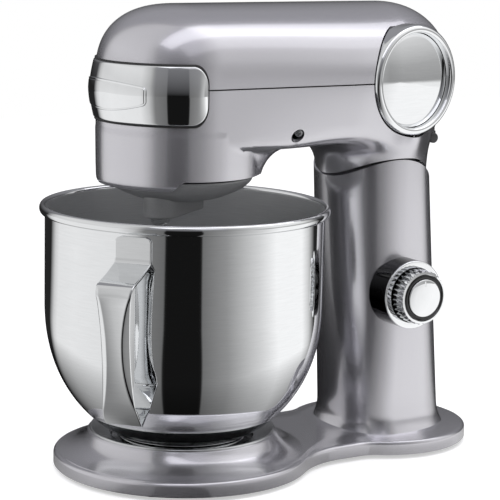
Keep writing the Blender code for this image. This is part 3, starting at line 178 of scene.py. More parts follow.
def turned(profile: Sequence[Point], segments: int = 96,
           place: Sequence[float] = (0, 0, 0)) -> bmesh.types.BMesh:
    """Spins a (radius, height) profile about Z.

    Args:
        profile: The outline; its last point joins the first where the solid is a ring.
        segments: Steps round the axis.
        place: Where the axis meets height 0.

    Returns:
        The closed mesh.
    """
    bm = bmesh.new()
    line = [bm.verts.new((r, 0, z)) for r, z in profile]
    edges = [bm.edges.new(pair) for pair in zip(line, line[1:])]
    if profile[0][0] > 1e-7 or profile[-1][0] > 1e-7:
        edges.append(bm.edges.new((line[-1], line[0])))
    bmesh.ops.spin(bm, geom=line + edges, cent=(0, 0, 0), axis=(0, 0, 1), angle=2 * math.pi, steps=segments,
                   use_merge=True)
    return placed(closed_up(bm), Matrix.Translation(place))


def sheet_of(across: int, up: int, place: Callable[[float, float], Sequence[float]]) -> bmesh.types.BMesh:
    """Bends a flat grid into a skin.

    Args:
        across: Cells along the first direction.
        up: Cells along the second direction.
        place: Where a point of the grid goes, from its two shares in 0..1.

    Returns:
        The skin, its doubles merged.
    """
    bm = bmesh.new()
    bmesh.ops.create_grid(bm, x_segments=across, y_segments=up, size=0.5)
    for vert in bm.verts:
        vert.co = place(min(max(vert.co.x + 0.5, 0.0), 1.0), min(max(vert.co.y + 0.5, 0.0), 1.0))
    return closed_up(bm)


def rounded(bm: bmesh.types.BMesh, edges: Sequence[bmesh.types.BMEdge], radius: float, segments: int) -> None:
    """Rounds some edges of a mesh."""
    bmesh.ops.bevel(bm, geom=edges, offset=radius, affect="EDGES", segments=segments, profile=0.5,
                    material=-1)


def block(low: Sequence[float], high: Sequence[float], bevel: float = 0.0,
          segments: int = 3) -> bmesh.types.BMesh:
    """A box between two corners, its edges rounded by bevel."""
    bm = bmesh.new()
    bmesh.ops.create_cube(bm, size=1)
    size = [b - a for a, b in zip(low, high)]
    middle = [(a + b) / 2 for a, b in zip(low, high)]
    placed(bm, Matrix.Translation(middle) @ Matrix.Diagonal((*size, 1)))
    if bevel:
        rounded(bm, bm.edges, bevel, segments)
    return closed_up(bm)


def rod(radius: float, length: float, segments: int = 64,
        top_radius: float | None = None) -> bmesh.types.BMesh:
    """A round bar about Z, from height 0 up."""
    bm = bmesh.new()
    bmesh.ops.create_cone(bm, cap_ends=True, segments=segments, radius1=radius,
                          radius2=radius if top_radius is None else top_radius, depth=length)
    return placed(bm, Matrix.Translation((0, 0, length / 2)))


def outline_block(outline: Sequence[Point], depth: float) -> bmesh.types.BMesh:
    """Extrudes a flat outline, which lies in the XY plane, up by depth."""
    bm = bmesh.new()
    face = bm.faces.new([bm.verts.new((x, y, 0)) for x, y in outline])
    grown = bmesh.ops.extrude_face_region(bm, geom=[face])["geom"]
    bmesh.ops.translate(bm, verts=[v for v in grown if isinstance(v, bmesh.types.BMVert)], vec=(0, 0, depth))
    return closed_up(bm)


def settled(piece: bpy.types.Object) -> bpy.types.Object:
    """Applies every modifier of a piece."""
    graph = bpy.context.evaluated_depsgraph_get()
    mesh = bpy.data.meshes.new_from_object(piece.evaluated_get(graph))
    worn = piece.data
    piece.modifiers.clear()
    piece.data = mesh
    bpy.data.meshes.remove(worn)
    return piece


def cut(piece: bpy.types.Object, tool: bmesh.types.BMesh, how: Cut = Cut.AWAY, crisp: float = 32.0) -> None:
    """Runs one Boolean on a piece and applies it.

    Args:
        piece: The solid that is changed.
        tool: The other solid's mesh, which is freed.
        how: What the Boolean does.
        crisp: Edge angle, in degrees, from which shading breaks.
    """
    other = finished(piece.name + "_tool", tool, piece.data.materials[0])
    modifier = piece.modifiers.new("cut", "BOOLEAN")
    modifier.operation = how.value
    modifier.solver = "MANIFOLD"
    modifier.object = other
    settled(piece)
    bpy.data.objects.remove(other)
    piece.data.shade_smooth()
    piece.data.set_sharp_from_angle(angle=math.radians(crisp))


def walled(piece: bpy.types.Object, wall: float) -> None:
    """Gives an open skin a wall on its inner side."""
    modifier = piece.modifiers.new("wall", "SOLIDIFY")
    modifier.thickness = wall
    modifier.offset = -1
    modifier.use_even_offset = True
    settled(piece)


def rides(piece: bpy.types.Object, body: str, slot: Slot, *nodes: str) -> None:
    """Hands a finished piece to the frame.

    Args:
        piece: The piece, in place.
        body: The body it moves with.
        slot: The record's slot of its finish; not used.
        nodes: CAD nodes it stands for.
    """
    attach(piece, body)
    if nodes:
        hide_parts(*nodes)
    log.info("%s: %d faces, rides on %s", piece.name, len(piece.data.polygons), body)


# ---------------------------------------------------------------- finishes
class Nodes:
    """Short ways to lay out one material's nodes."""

    def __init__(self, name: str) -> None:
        """Starts a material with a principled surface."""
        self.material = bpy.data.materials.new(name)
        self.material.use_nodes = True
        self.tree = self.material.node_tree
        self.surface = self.tree.nodes["Principled BSDF"]
        self.place = self.tree.nodes.new("ShaderNodeTexCoord").outputs["Object"]

    def set(self, **sockets: float | Colour) -> None:
        """Sets the surface's sockets by name, with _ for a space."""
        for name, value in sockets.items():
            socket = self.surface.inputs[name.replace("_", " ")]
            socket.default_value = (*value, 1.0) if isinstance(value, tuple) else value

    def noise(self, scale: float, detail: float = 2.0, stretch: Sequence[float] = (1, 1, 1),
              roughness: float = 0.5) -> bpy.types.NodeSocket:
        """Noise on the object's coordinates, stretched by a scale per axis."""
        mapping = self.tree.nodes.new("ShaderNodeMapping")
        mapping.inputs["Scale"].default_value = stretch
        self.tree.links.new(self.place, mapping.inputs["Vector"])
        noise = self.tree.nodes.new("ShaderNodeTexNoise")
        noise.inputs["Scale"].default_value = scale
        noise.inputs["Detail"].default_value = detail
        noise.inputs["Roughness"].default_value = roughness
        self.tree.links.new(mapping.outputs["Vector"], noise.inputs["Vector"])
        return noise.outputs["Fac"]

    def span(self, value: bpy.types.NodeSocket, low: float, high: float, start: float = 0.3,
             end: float = 0.7) -> bpy.types.NodeSocket:
        """Maps start..end of a value to low..high."""
        node = self.tree.nodes.new("ShaderNodeMapRange")
        for name, number in (("From Min", start), ("From Max", end), ("To Min", low), ("To Max", high)):
            node.inputs[name].default_value = number
        self.tree.links.new(value, node.inputs["Value"])
        return node.outputs["Result"]

    def tint(self, value: bpy.types.NodeSocket, low: Colour, high: Colour) -> None:
        """Base colour between two tones, led by a value."""
        node = self.tree.nodes.new("ShaderNodeMix")
        node.data_type = "RGBA"
        node.inputs["A"].default_value = (*low, 1)
        node.inputs["B"].default_value = (*high, 1)
        self.tree.links.new(value, node.inputs["Factor"])
        self.tree.links.new(node.outputs["Result"], self.surface.inputs["Base Color"])

    def rough(self, value: bpy.types.NodeSocket) -> None:
        """Roughness led by a value."""
        self.tree.links.new(value, self.surface.inputs["Roughness"])

    def bump(self, value: bpy.types.NodeSocket, strength: float, distance: float, coat: bool = False) -> None:
        """Relief led by a value, on the coat's normal too if asked."""
        node = self.tree.nodes.new("ShaderNodeBump")
        node.inputs["Strength"].default_value = strength
        node.inputs["Distance"].default_value = distance
        self.tree.links.new(value, node.inputs["Height"])
        self.tree.links.new(node.outputs["Normal"], self.surface.inputs["Normal"])
        if coat:
            self.tree.links.new(node.outputs["Normal"], self.surface.inputs["Coat Normal"])


def shade(level: float, warm: float = 0.0) -> Colour:
    """A near-neutral grey, with a little less or more red than blue."""
    return (level * (1 + warm), level, level * (1 - warm))


@dataclass(frozen=True)
class MetallicPaint:
    """Silver enamel: metal flake under a gloss coat with faint orange peel."""

    name: str
    tone: float = 0.61
    flake: float = 0.010
    roughness: float = 0.25

    @staticmethod
    def lilac(level: float) -> Colour:
        """A grey that leans a little to violet."""
        return (level, level * 0.985, level * 1.045)

    def make(self) -> bpy.types.Material:
        """Builds the material."""
        nodes = Nodes(self.name)
        flakes = nodes.noise(2600, 1.0)
        nodes.tint(nodes.span(flakes, 0, 1), self.lilac(self.tone - self.flake),
                   self.lilac(self.tone + self.flake))
        nodes.rough(nodes.span(nodes.noise(900, 2.0), self.roughness - 0.012, self.roughness + 0.012))
        nodes.set(Metallic=0.84, Coat_Weight=1.0, Coat_Roughness=0.03, Coat_IOR=1.75)
        nodes.bump(nodes.noise(260, 1.0), 0.02, 0.0002, coat=True)
        return nodes.material


@dataclass(frozen=True)
class Polish:
    """Bright metal, mirror smooth or with a grain drawn along one way."""

    name: str
    tone: float = 0.82
    roughness: float = 0.04
    spread: float = 0.02
    grain: Sequence[float] = (1, 1, 1)
    grain_scale: float = 220.0
    relief: float = 0.0
    warm: float = -0.012

    def make(self) -> bpy.types.Material:
        """Builds the material."""
        nodes = Nodes(self.name)
        grain = nodes.noise(self.grain_scale, 4.0, self.grain, 0.65)
        nodes.tint(nodes.span(grain, 0, 1), shade(self.tone * 0.95, self.warm), shade(self.tone, self.warm))
        nodes.rough(nodes.span(grain, self.roughness, self.roughness + self.spread))
        nodes.set(Metallic=1.0)
        if self.relief:
            nodes.bump(grain, self.relief, 0.0003)
        return nodes.material


@dataclass(frozen=True)
class BrushedInside:
    """Steel brushed round the bowl's axis, seen as level streaks."""

    name: str
    axis: Sequence[float]
    tone: float = 0.74

    def make(self) -> bpy.types.Material:
        """Builds the material."""
        nodes = Nodes(self.name)
        mapping = nodes.tree.nodes.new("ShaderNodeMapping")
        mapping.inputs["Location"].default_value = (-self.axis[0], -self.axis[1], 0)
        nodes.tree.links.new(nodes.place, mapping.inputs["Vector"])
        nodes.place = mapping.outputs["Vector"]
        parts = nodes.tree.nodes.new("ShaderNodeSeparateXYZ")
        nodes.tree.links.new(nodes.place, parts.inputs["Vector"])
        turn = nodes.tree.nodes.new("ShaderNodeMath")
        turn.operation = "ARCTAN2"
        nodes.tree.links.new(parts.outputs["Y"], turn.inputs[0])
        nodes.tree.links.new(parts.outputs["X"], turn.inputs[1])
        round_way = nodes.tree.nodes.new("ShaderNodeCombineXYZ")
        nodes.tree.links.new(turn.outputs[0], round_way.inputs["X"])
        nodes.tree.links.new(parts.outputs["Z"], round_way.inputs["Z"])
        nodes.place = round_way.outputs["Vector"]
        streaks = nodes.noise(40, 5.0, (0.12, 1, 60), 0.7)
        nodes.tint(nodes.span(streaks, 0, 1), shade(self.tone * 0.8, -0.01), shade(self.tone, -0.01))
        nodes.rough(nodes.span(streaks, 0.34, 0.46))
        nodes.set(Metallic=0.8)
        nodes.bump(streaks, 0.10, 0.0002)
        return nodes.material


@dataclass(frozen=True)
class Moulding:
    """Moulded plastic or rubber with a fine grain."""

    name: str
    colour: Colour = (0.03, 0.03, 0.032)
    roughness: float = 0.45
    grain: float = 1400.0
    relief: float = 0.12

    def make(self) -> bpy.types.Material:
        """Builds the material."""
        nodes = Nodes(self.name)
        broad = nodes.noise(60, 3.0)
        nodes.tint(nodes.span(broad, 0, 1), tuple(0.9 * c for c in self.colour),
                   tuple(1.1 * c for c in self.colour))
        fine = nodes.noise(self.grain, 2.0)
        nodes.rough(nodes.span(fine, self.roughness - 0.05, self.roughness + 0.07))
        nodes.set(Metallic=0.0)
        nodes.bump(fine, self.relief, 0.0002)
        return nodes.material


@dataclass(frozen=True)
class Casting:
    """Satin die-cast metal."""

    name: str
    tone: float = 0.30
    roughness: float = 0.38
    metal: float = 0.85

    def make(self) -> bpy.types.Material:
        """Builds the material."""
        nodes = Nodes(self.name)
        skin = nodes.noise(700, 3.0)
        nodes.tint(nodes.span(skin, 0, 1), shade(self.tone * 0.94, -0.01), shade(self.tone * 1.05, -0.01))
        nodes.rough(nodes.span(skin, self.roughness - 0.04, self.roughness + 0.06))
        nodes.set(Metallic=self.metal)
        nodes.bump(skin, 0.08, 0.0002)
        return nodes.material


@dataclass(frozen=True)
class Windings:
    """Copper wire laid in even turns."""

    name: str

    def make(self) -> bpy.types.Material:
        """Builds the material."""
        nodes = Nodes(self.name)
        wave = nodes.tree.nodes.new("ShaderNodeTexWave")
        wave.bands_direction = "Z"
        wave.inputs["Scale"].default_value = 320
        nodes.tree.links.new(nodes.place, wave.inputs["Vector"])
        nodes.tint(wave.outputs["Fac"], (0.26, 0.10, 0.04), (0.62, 0.27, 0.12))
        nodes.rough(nodes.span(wave.outputs["Fac"], 0.32, 0.45, 0, 1))
        nodes.set(Metallic=1.0)
        nodes.bump(wave.outputs["Fac"], 0.4, 0.0004)
        return nodes.material


class Finishes:
    """Every finish of the mixer, made once."""

    def __init__(self, bowl_axis: Sequence[float]) -> None:
        """Makes the materials; bowl_axis centres the brushing inside the bowl."""
        self.paint = MetallicPaint("silver_enamel").make()
        self.mirror = Polish("mirror_steel", tone=0.86, roughness=0.03, spread=0.015, grain=(1, 1, 14),
                             grain_scale=60).make()
        self.brushed = BrushedInside("brushed_inside", bowl_axis).make()
        self.satin = Polish("satin_steel", tone=0.66, roughness=0.20, spread=0.08, grain=(1, 1, 20)).make()
        self.chrome = Polish("bright_chrome", tone=0.90, roughness=0.02, spread=0.012, grain_scale=40).make()
        self.dark_chrome = Polish("smoked_chrome", tone=0.34, roughness=0.10, spread=0.05, relief=0.05).make()
        self.collar = Polish("gloss_black_chrome", tone=0.055, roughness=0.06, spread=0.02).make()
        self.bare_steel = Polish("machined_steel", tone=0.60, roughness=0.24, spread=0.1, grain=(1, 1, 30),
                                 relief=0.08).make()
        self.casting = Casting("grey_casting_skin").make()
        self.planet_grey = Casting("planetary_grey", tone=0.42, roughness=0.36, metal=0.40).make()
        self.plastic = Moulding("black_moulding", (0.035, 0.035, 0.037), 0.32).make()
        self.gear = Moulding("white_gear_moulding", (0.62, 0.61, 0.56), 0.42, 800).make()
        self.rubber = Moulding("soft_rubber", (0.022, 0.022, 0.022), 0.72, 900, 0.25).make()
        self.board = Moulding("board_laminate", (0.02, 0.14, 0.06), 0.35, 500).make()
        self.copper = Windings("copper_wire").make()

    def of_slot(self) -> dict[str, bpy.types.Material]:
        """The finish that CAD nodes of each record slot carry."""
        finishes = {Slot.PAINT: self.paint, Slot.POLISHED: self.mirror, Slot.CHROME: self.chrome,
                    Slot.DARK_CHROME: self.dark_chrome, Slot.CASTING: self.casting,
                    Slot.STEEL: self.bare_steel, Slot.GEAR: self.gear, Slot.PLASTIC: self.plastic,
                    Slot.RUBBER: self.rubber, Slot.COPPER: self.copper, Slot.BOARD: self.board}
        return {slot.value: finish for slot, finish in finishes.items()}


# ---------------------------------------------------------------- places read from the frame
class Places:
    """Axes and levels that the pieces share, read from the CAD frame."""

    def __init__(self) -> None:
        """Reads the frame's boxes."""
        self.bowl_y = self.middle("bowl").y
        self.nose_y = self.middle("driven_pulley").y
        self.column_y = self.middle("dial_face").y
        self.dial_z = self.middle("dial_face").z
        self.shaft = self.middle("attachment_shaft")
        self.outlet_z = self.middle("outlet_shaft").z
        self.hinge = self.middle("hinge_pin")
        self.well_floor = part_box("bayonet_plate")[0].z - 0.0003
        self.deck_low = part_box("base_casting")[0].z

    @staticmethod
    def middle(node: str) -> Vector:
        """Centre of a CAD node's box."""
        low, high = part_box(node)
        return (low + high) / 2

    def at(self, y: float) -> float:
        """Frame Y of a distance behind the bowl's axis."""
        return self.bowl_y + y


# ---------------------------------------------------------------- the base
@dataclass
class Base:
    """Stand's foot: a round front under the bowl, a waist and a round rear lobe under the column."""

    places: Places
    finishes: Finishes
    front: float = 0.100
    waist: float = 0.0566
    waist_fillets: Point = (0.070, 0.025)
    lobe: float = 0.0725
    lobe_y: float = 0.1865
    star_y: float = 0.120
    bottom: float = 0.0033
    edge_top: float = 0.0145
    deck: float = 0.0155
    edge_fillet: float = 0.0032
    wall: float = 0.0028
    well: float = 0.0554
    mound: tuple[Point, ...] = ((0.0735, 0.0297), (0.0752, 0.0268), (0.0780, 0.0232), (0.0815, 0.0204),
                                (0.0860, 0.0180), (0.0910, 0.0163), (0.0965, 0.0150))

    def reach(self, turn: float) -> float:
        """Distance from the star point to the outline, along a bearing.

        Args:
            turn: Bearing in radians, 0 towards +X.

        Returns:
            The distance in metres.
        """
        way = Vector((abs(math.cos(turn)), math.sin(turn)))
        near_fillet, far_fillet = self.waist_fillets
        near = Vector((self.waist + near_fillet,
                       math.sqrt((self.front + near_fillet) ** 2 - (self.waist + near_fillet) ** 2)))
        back = math.sqrt((self.lobe + far_fillet) ** 2 - (self.waist + far_fillet) ** 2)
        far = Vector((self.waist + far_fillet, self.lobe_y - back))
        low, high = 0.0, 0.25
        for _ in range(40):
            mid = (low + high) / 2
            if self.inside(Vector((0, self.star_y)) + way * mid, near, far):
                low = mid
            else:
                high = mid
        return low

    def inside(self, p: Vector, near: Vector, far: Vector) -> bool:
        """Whether a plan point is inside the outline; near and far are the waist fillets' centres."""
        if p.length <= self.front or (p - Vector((0, self.lobe_y))).length <= self.lobe:
            return True
        first = near * (self.front / near.length)
        lobe_way = (far - Vector((0, self.lobe_y))).normalized()
        last = Vector((0, self.lobe_y)) + lobe_way * self.lobe
        if p.y < first.y or p.y > last.y:
            return False
        if p.y < near.y:
            return p.x < near.x and (p - near).length >= self.waist_fillets[0]
        if p.y > far.y:
            return p.x < far.x and (p - far).length >= self.waist_fillets[1]
        return p.x <= self.waist

    def build(self) -> None:
        """Makes the base's skin with its seat and well, and the bright ring that the bowl stands in."""
        count = 288
        reaches = [self.reach(2 * math.pi * i / count) for i in range(count)]
        fillet = [(self.edge_fillet * (1 - math.sin(a)), self.edge_top - self.edge_fillet * (1 - math.cos(a)))
                  for a in (math.radians(90 * i / 6) for i in range(6, -1, -1))]
        fillet.sort(key=lambda p: p[1])
        levels = [(0.0009, self.bottom), (0.0, self.bottom + 0.0009), (0.0, self.edge_top - self.edge_fillet)]
        levels += fillet[1:]
        steps = 26
        crown = self.deck - self.edge_top

        def skin(u: float, v: float) -> Vector:
            """Point of the skin: u round the outline, v from the bottom edge up and in to the middle."""
            index = int(round(u * count)) % count
            turn = 2 * math.pi * index / count
            full = reaches[index]
            row = int(round(v * (len(levels) + steps - 1)))
            if row < len(levels):
                inset, z = levels[row]
                r = full - inset
            else:
                share = (row - len(levels) + 1) / steps
                start = full - levels[-1][0]
                r = start * (1 - share)
                z = self.edge_top + crown * ease(min(1.0, (start - r) / 0.02))
            return Vector((r * math.cos(turn), self.places.at(self.star_y) + r * math.sin(turn), z))

        base = finished("base_shell", sheet_of(count, len(levels) + steps - 1, skin), self.finishes.paint, 40)
        walled(base, self.wall)
        centre = (0, self.places.bowl_y, 0)
        cut(base, placed(rod(0.0885, 0.05, 160), Matrix.Translation((0, self.places.bowl_y, 0.008))))
        floor = self.places.well_floor
        seat = [(0, floor), (self.well, floor), (self.well, 0.0246)]
        seat += arc_line((self.well + 0.0008, 0.0250), (0.0008, 0.0008), 180, 90, 3)
        seat += [(0.0598, 0.0268), (0.0650, 0.0284), (0.0695, 0.0306)]
        seat += arc_line((0.0712, 0.0290), (0.0020, 0.0020), 110, 20, 6)
        seat += smooth_line(self.mound, 4)
        seat += [(0.0965, 0.0122), (0.0870, 0.0122), (0.0870, floor - 0.0025), (0, floor - 0.0025)]
        cut(base, turned(seat, 160, centre), Cut.ONTO, 40)
        rides(base, "stand", Slot.PAINT, "base_casting")
        ring = [(0.0562, 0.0272)] + smooth_line([(0.0566, 0.0277), (0.0598, 0.0283), (0.0640, 0.0296),
                                                 (0.0680, 0.0311), (0.0702, 0.0320)], 4)
        ring += arc_line((0.0708, 0.0311), (0.0012, 0.0012), 100, -60, 6)
        ring += [(0.0700, 0.0298), (0.0650, 0.0275), (0.0598, 0.0260), (0.0562, 0.0256)]
        collar = finished("seat_ring", turned(ring, 160, centre), self.finishes.satin, 40)
        rides(collar, "stand", Slot.POLISHED)


# ---------------------------------------------------------------- the column
@dataclass
class Column:
    """Upright between the base and the head's seam."""

    places: Places
    finishes: Finishes
    foot: float = 0.0148
    top: float = 0.238
    half: Point = (0.0465, 0.0475)
    ahead: Point = (0.044, 0.029)
    behind: Point = (0.044, 0.065)
    power: float = 2.25
    seam: tuple[float, float, float] = (0.0564, 0.168, 0.181)
    skirt: Point = (0.0042, 0.016)
    wall: float = 0.0034
    hinge_notch: Point = (0.0050, 0.0188)
    dial_hole: float = 0.0045

    def section(self, turn: float, z: float, inset: float = 0.0) -> Vector:
        """Plan point of the column's skin.

        Args:
            turn: Bearing in radians.
            z: Height.
            inset: Distance in from the outer skin.

        Returns:
            The point, in the frame.
        """
        drop = min(max((self.top - z) / (self.top - self.foot), 0.0), 1.0)
        flare = self.skirt[0] * max(0.0, 1 - (z - self.foot) / self.skirt[1]) ** 2.2 - inset
        c, s = math.cos(turn), math.sin(turn)
        half = self.half[0] + (self.half[1] - self.half[0]) * drop + flare
        ends = self.ahead if s < 0 else self.behind
        deep = ends[0] + (ends[1] - ends[0]) * drop + flare
        return Vector((half * math.copysign(abs(c) ** (2 / self.power), c),
                       self.places.column_y + deep * math.copysign(abs(s) ** (2 / self.power), s), z))

    def tube(self, low: float, high: float, inset: float = 0.0) -> bmesh.types.BMesh:
        """The column's section carried from one height to another, closed at both ends."""
        rows = 44

        def skin(u: float, v: float) -> Vector:
            """Point of the tube: u round it, v up it, with the end rows closed on the axis."""
            row = round(v * (rows + 2))
            if row in (0, rows + 2):
                return Vector((0, self.places.column_y, low if row == 0 else high))
            share = (row - 1) / rows
            z = low + (high - low) * share ** 1.35
            return self.section(2 * math.pi * u, z, inset)

        return sheet_of(144, rows + 2, skin)

    def build(self) -> None:
        """Makes the column with its domed top."""
        radius, y, z = self.seam
        column = finished("column_shell", self.tube(self.foot, 0.250), self.finishes.paint, 40)
        cut(column, self.tube(self.foot - 0.01, 0.212, self.wall))
        low = placed(rod(radius, 0.2, 200), along_x((-0.1, self.places.at(y), z)))
        keep = finished("column_keep", low, self.finishes.paint)
        modifier = keep.modifiers.new("more", "BOOLEAN")
        modifier.operation, modifier.solver = Cut.ONTO.value, "MANIFOLD"
        body = finished("column_keep_low", block((-0.09, self.places.at(0.05), 0.0),
                                                 (0.09, self.places.at(0.30), z)), self.finishes.paint)
        modifier.object = body
        settled(keep)
        tool = bmesh.new()
        tool.from_mesh(keep.data)
        for helper in (keep, body):
            bpy.data.objects.remove(helper)
        cut(column, tool, Cut.SHARED, 30)
        notch_r, notch_half = self.hinge_notch
        hinge = self.places.hinge
        cut(column, placed(rod(notch_r, 2 * notch_half, 48), along_x((-notch_half, hinge.y, hinge.z))))
        front, back = self.places.at(0.172 - 0.0242), self.places.at(0.172 - 0.0140)
        cut(column, block((-0.0075, front, 0.205), (0.0075, back, 0.25)), crisp=30)
        spot = (0.03, self.places.column_y, self.places.dial_z)
        cut(column, placed(rod(self.dial_hole, 0.06, 40), along_x(spot)))
        rides(column, "stand", Slot.PAINT, "column_casting")


# ---------------------------------------------------------------- the head
@dataclass
class HeadForm:
    """Shape of the head as a field: below 0 inside, above 0 outside, in metres."""

    places: Places
    nose: Point = (-0.007, 0.0634)
    tail_y: float = 0.172
    tail_side: Point = (0.0465, 0.0615)
    tail_rear: Point = (0.044, 0.0623)
    swell: tuple[float, float, float] = (0.110, 0.0644, 2.25)
    under: float = 0.2525
    parting: float = 0.300
    drum: tuple[Point, ...] = ((0.2250, 0.0602), (0.2256, 0.0610), (0.2268, 0.0618), (0.2285, 0.0622),
                               (0.2310, 0.0624), (0.2400, 0.0627), (0.2700, 0.0632))
    drum_top: float = 0.266
    edge: float = 0.0085
    drum_blend: float = 0.030
    neck_blend: float = 0.026
    side_blend: float = 0.026

    @staticmethod
    def oval(x: np.ndarray, y: np.ndarray, half: np.ndarray, deep: np.ndarray,
             power: float = 2.0) -> np.ndarray:
        """Signed distance in plan to a superellipse about the origin.

        Args:
            x: Across.
            y: Along.
            half: Half width.
            deep: Half length.
            power: The superellipse's power.

        Returns:
            The distance.
        """
        a, b = np.abs(x) / half, np.abs(y) / deep
        k = np.maximum(a ** power + b ** power, 1e-12) ** (1 / power)
        slope = np.hypot(a ** (power - 1) / half, b ** (power - 1) / deep) / k ** (power - 1)
        return (k - 1) / np.maximum(slope, 1e-9)

    def plan(self, x: np.ndarray, y: np.ndarray, nose: np.ndarray, half: np.ndarray,
             rear: np.ndarray) -> np.ndarray:
        """Signed distance in plan to the head's outline.

        Args:
            x: Across.
            y: Behind the bowl's axis.
            nose: Radius of the round nose.
            half: Half width where the tail starts to close.
            rear: Reach of the tail behind the column's axis.

        Returns:
            The distance.
        """
        front, (start, _, power) = self.nose[0], self.swell
        flat = np.abs(x) - (nose + (half - nose) * eased((y - front) / (start - front)))
        fore = np.where(y < front, np.hypot(x, y - front) - nose, flat)
        tail = self.oval(x, y - start, half, rear + self.tail_y - start, power)
        return np.where(y > start, tail, fore)

    def lower(self, p: np.ndarray) -> np.ndarray:
        """Field of everything below the parting line: arm, drum and neck, blended.

        Args:
            p: Points, one per row, in the frame.

        Returns:
            Signed distance-like values.
        """
        x, y, z = p[:, 0], p[:, 1] - self.places.bowl_y, p[:, 2]
        drop = np.clip((self.parting - z) / 0.0475, 0, 1.2)
        nose = self.nose[1] - 0.0008 * drop
        half = self.swell[1] - 0.0060 * drop ** 2
        swell = eased((z - 0.224) / 0.034) * eased((y - 0.132) / 0.030)
        swell = swell * (1 - 0.65 * eased((y - 0.168) / 0.030))
        side = self.tail_side[0] + (self.tail_side[1] - self.tail_side[0]) * swell
        rear = self.tail_rear[0] + (self.tail_rear[1] - self.tail_rear[0]) * eased((z - 0.238) / 0.062)
        edge = self.edge + 0.008 * eased((y - 0.05) / 0.06) * eased((np.abs(x) - 0.02) / 0.02)
        arm = self.meet(self.plan(x, y, nose, half, rear), self.under - z, edge)
        heights, radii = zip(*self.drum)
        drum_r = np.interp(z, heights, radii)
        drum = np.maximum(np.hypot(x, y - self.nose[0]) - drum_r, np.maximum(0.215 - z, z - self.drum_top))
        soft = self.drum_blend * eased((y - self.nose[0] - 0.008) / 0.036)
        soft = soft * (1 - eased((np.abs(x) - 0.036) / 0.022)) + 1e-5
        body = -self.meet(-arm, -drum, soft)
        deep = np.where(y > self.tail_y, rear, self.tail_rear[0])
        neck = np.maximum(self.oval(x, y - self.tail_y, side, deep), 0.196 - z)
        beside = eased((np.abs(x) - 0.018) / 0.024)
        neck_soft = self.neck_blend * (1 - eased((y - 0.128) / 0.030)) * (1 - beside) + 0.005
        neck_soft = neck_soft + self.side_blend * beside * (1 - eased((y - 0.130) / 0.045))
        return -self.meet(-body, -neck, neck_soft)

    @staticmethod
    def meet(a: np.ndarray, b: np.ndarray, soft: np.ndarray | float) -> np.ndarray:
        """The higher of two fields, with a rounded crossing."""
        share = np.maximum(soft - np.abs(a - b), 0) / soft
        return np.maximum(a, b) + share * share * soft / 4

    def rough(self, inset: float) -> bmesh.types.BMesh:
        """Rough solids under the field's surface, for the remesh to join."""
        bm = bmesh.new()
        nose_y, tail = self.places.at(self.nose[0]), self.places.at(self.tail_y)
        low = self.under + inset
        high = self.parting + 0.012

        def add(tool: bmesh.types.BMesh) -> None:
            """Adds one solid to the rough, and frees it."""
            mesh = bpy.data.meshes.new("rough")
            tool.to_mesh(mesh)
            tool.free()
            bm.from_mesh(mesh)
            bpy.data.meshes.remove(mesh)

        add(placed(rod(self.nose[1] - inset, high - 0.215, 48), Matrix.Translation((0, nose_y, 0.215))))
        add(placed(rod(0.050 - inset, high - low, 48), Matrix.Translation((0, tail, low))))
        add(block((-0.055 + inset, nose_y, low), (0.055 - inset, tail, high)))
        add(placed(rod(0.0445 - inset, high - 0.196, 48), Matrix.Translation((0, tail, 0.196))))
        return bm

    def skin(self, name: str, inset: float, finish: bpy.types.Material,
             voxel: float = 0.0021) -> bpy.types.Object:
        """Grows an even mesh on the field's surface.

        Args:
            name: The object's name.
            inset: Distance in from the outer surface.
            finish: Its material.
            voxel: Size of the mesh's cells.

        Returns:
            The closed skin.
        """
        piece = finished(name, self.rough(inset), finish)
        modifier = piece.modifiers.new("grow", "REMESH")
        modifier.mode = "VOXEL"
        modifier.voxel_size = voxel
        settled(piece)
        count = len(piece.data.vertices)
        points = np.empty(count * 3, np.float32)
        piece.data.vertices.foreach_get("co", points)
        points = points.reshape(-1, 3).astype(float)
        step = 2e-4
        top = points[:, 2] > self.parting + 0.006
        for _ in range(24):
            value = self.lower(points) + inset
            slope = np.stack([(self.lower(points + e) - self.lower(points - e)) / (2 * step)
                              for e in np.eye(3) * step], axis=1)
            length = np.maximum((slope ** 2).sum(1), 0.05)
            move = np.clip(value / length, -voxel, voxel)[:, None] * slope
            move[top, 2] = 0
            points -= move
        piece.data.vertices.foreach_set("co", points.astype(np.float32).ravel())
        piece.data.update()
        return piece


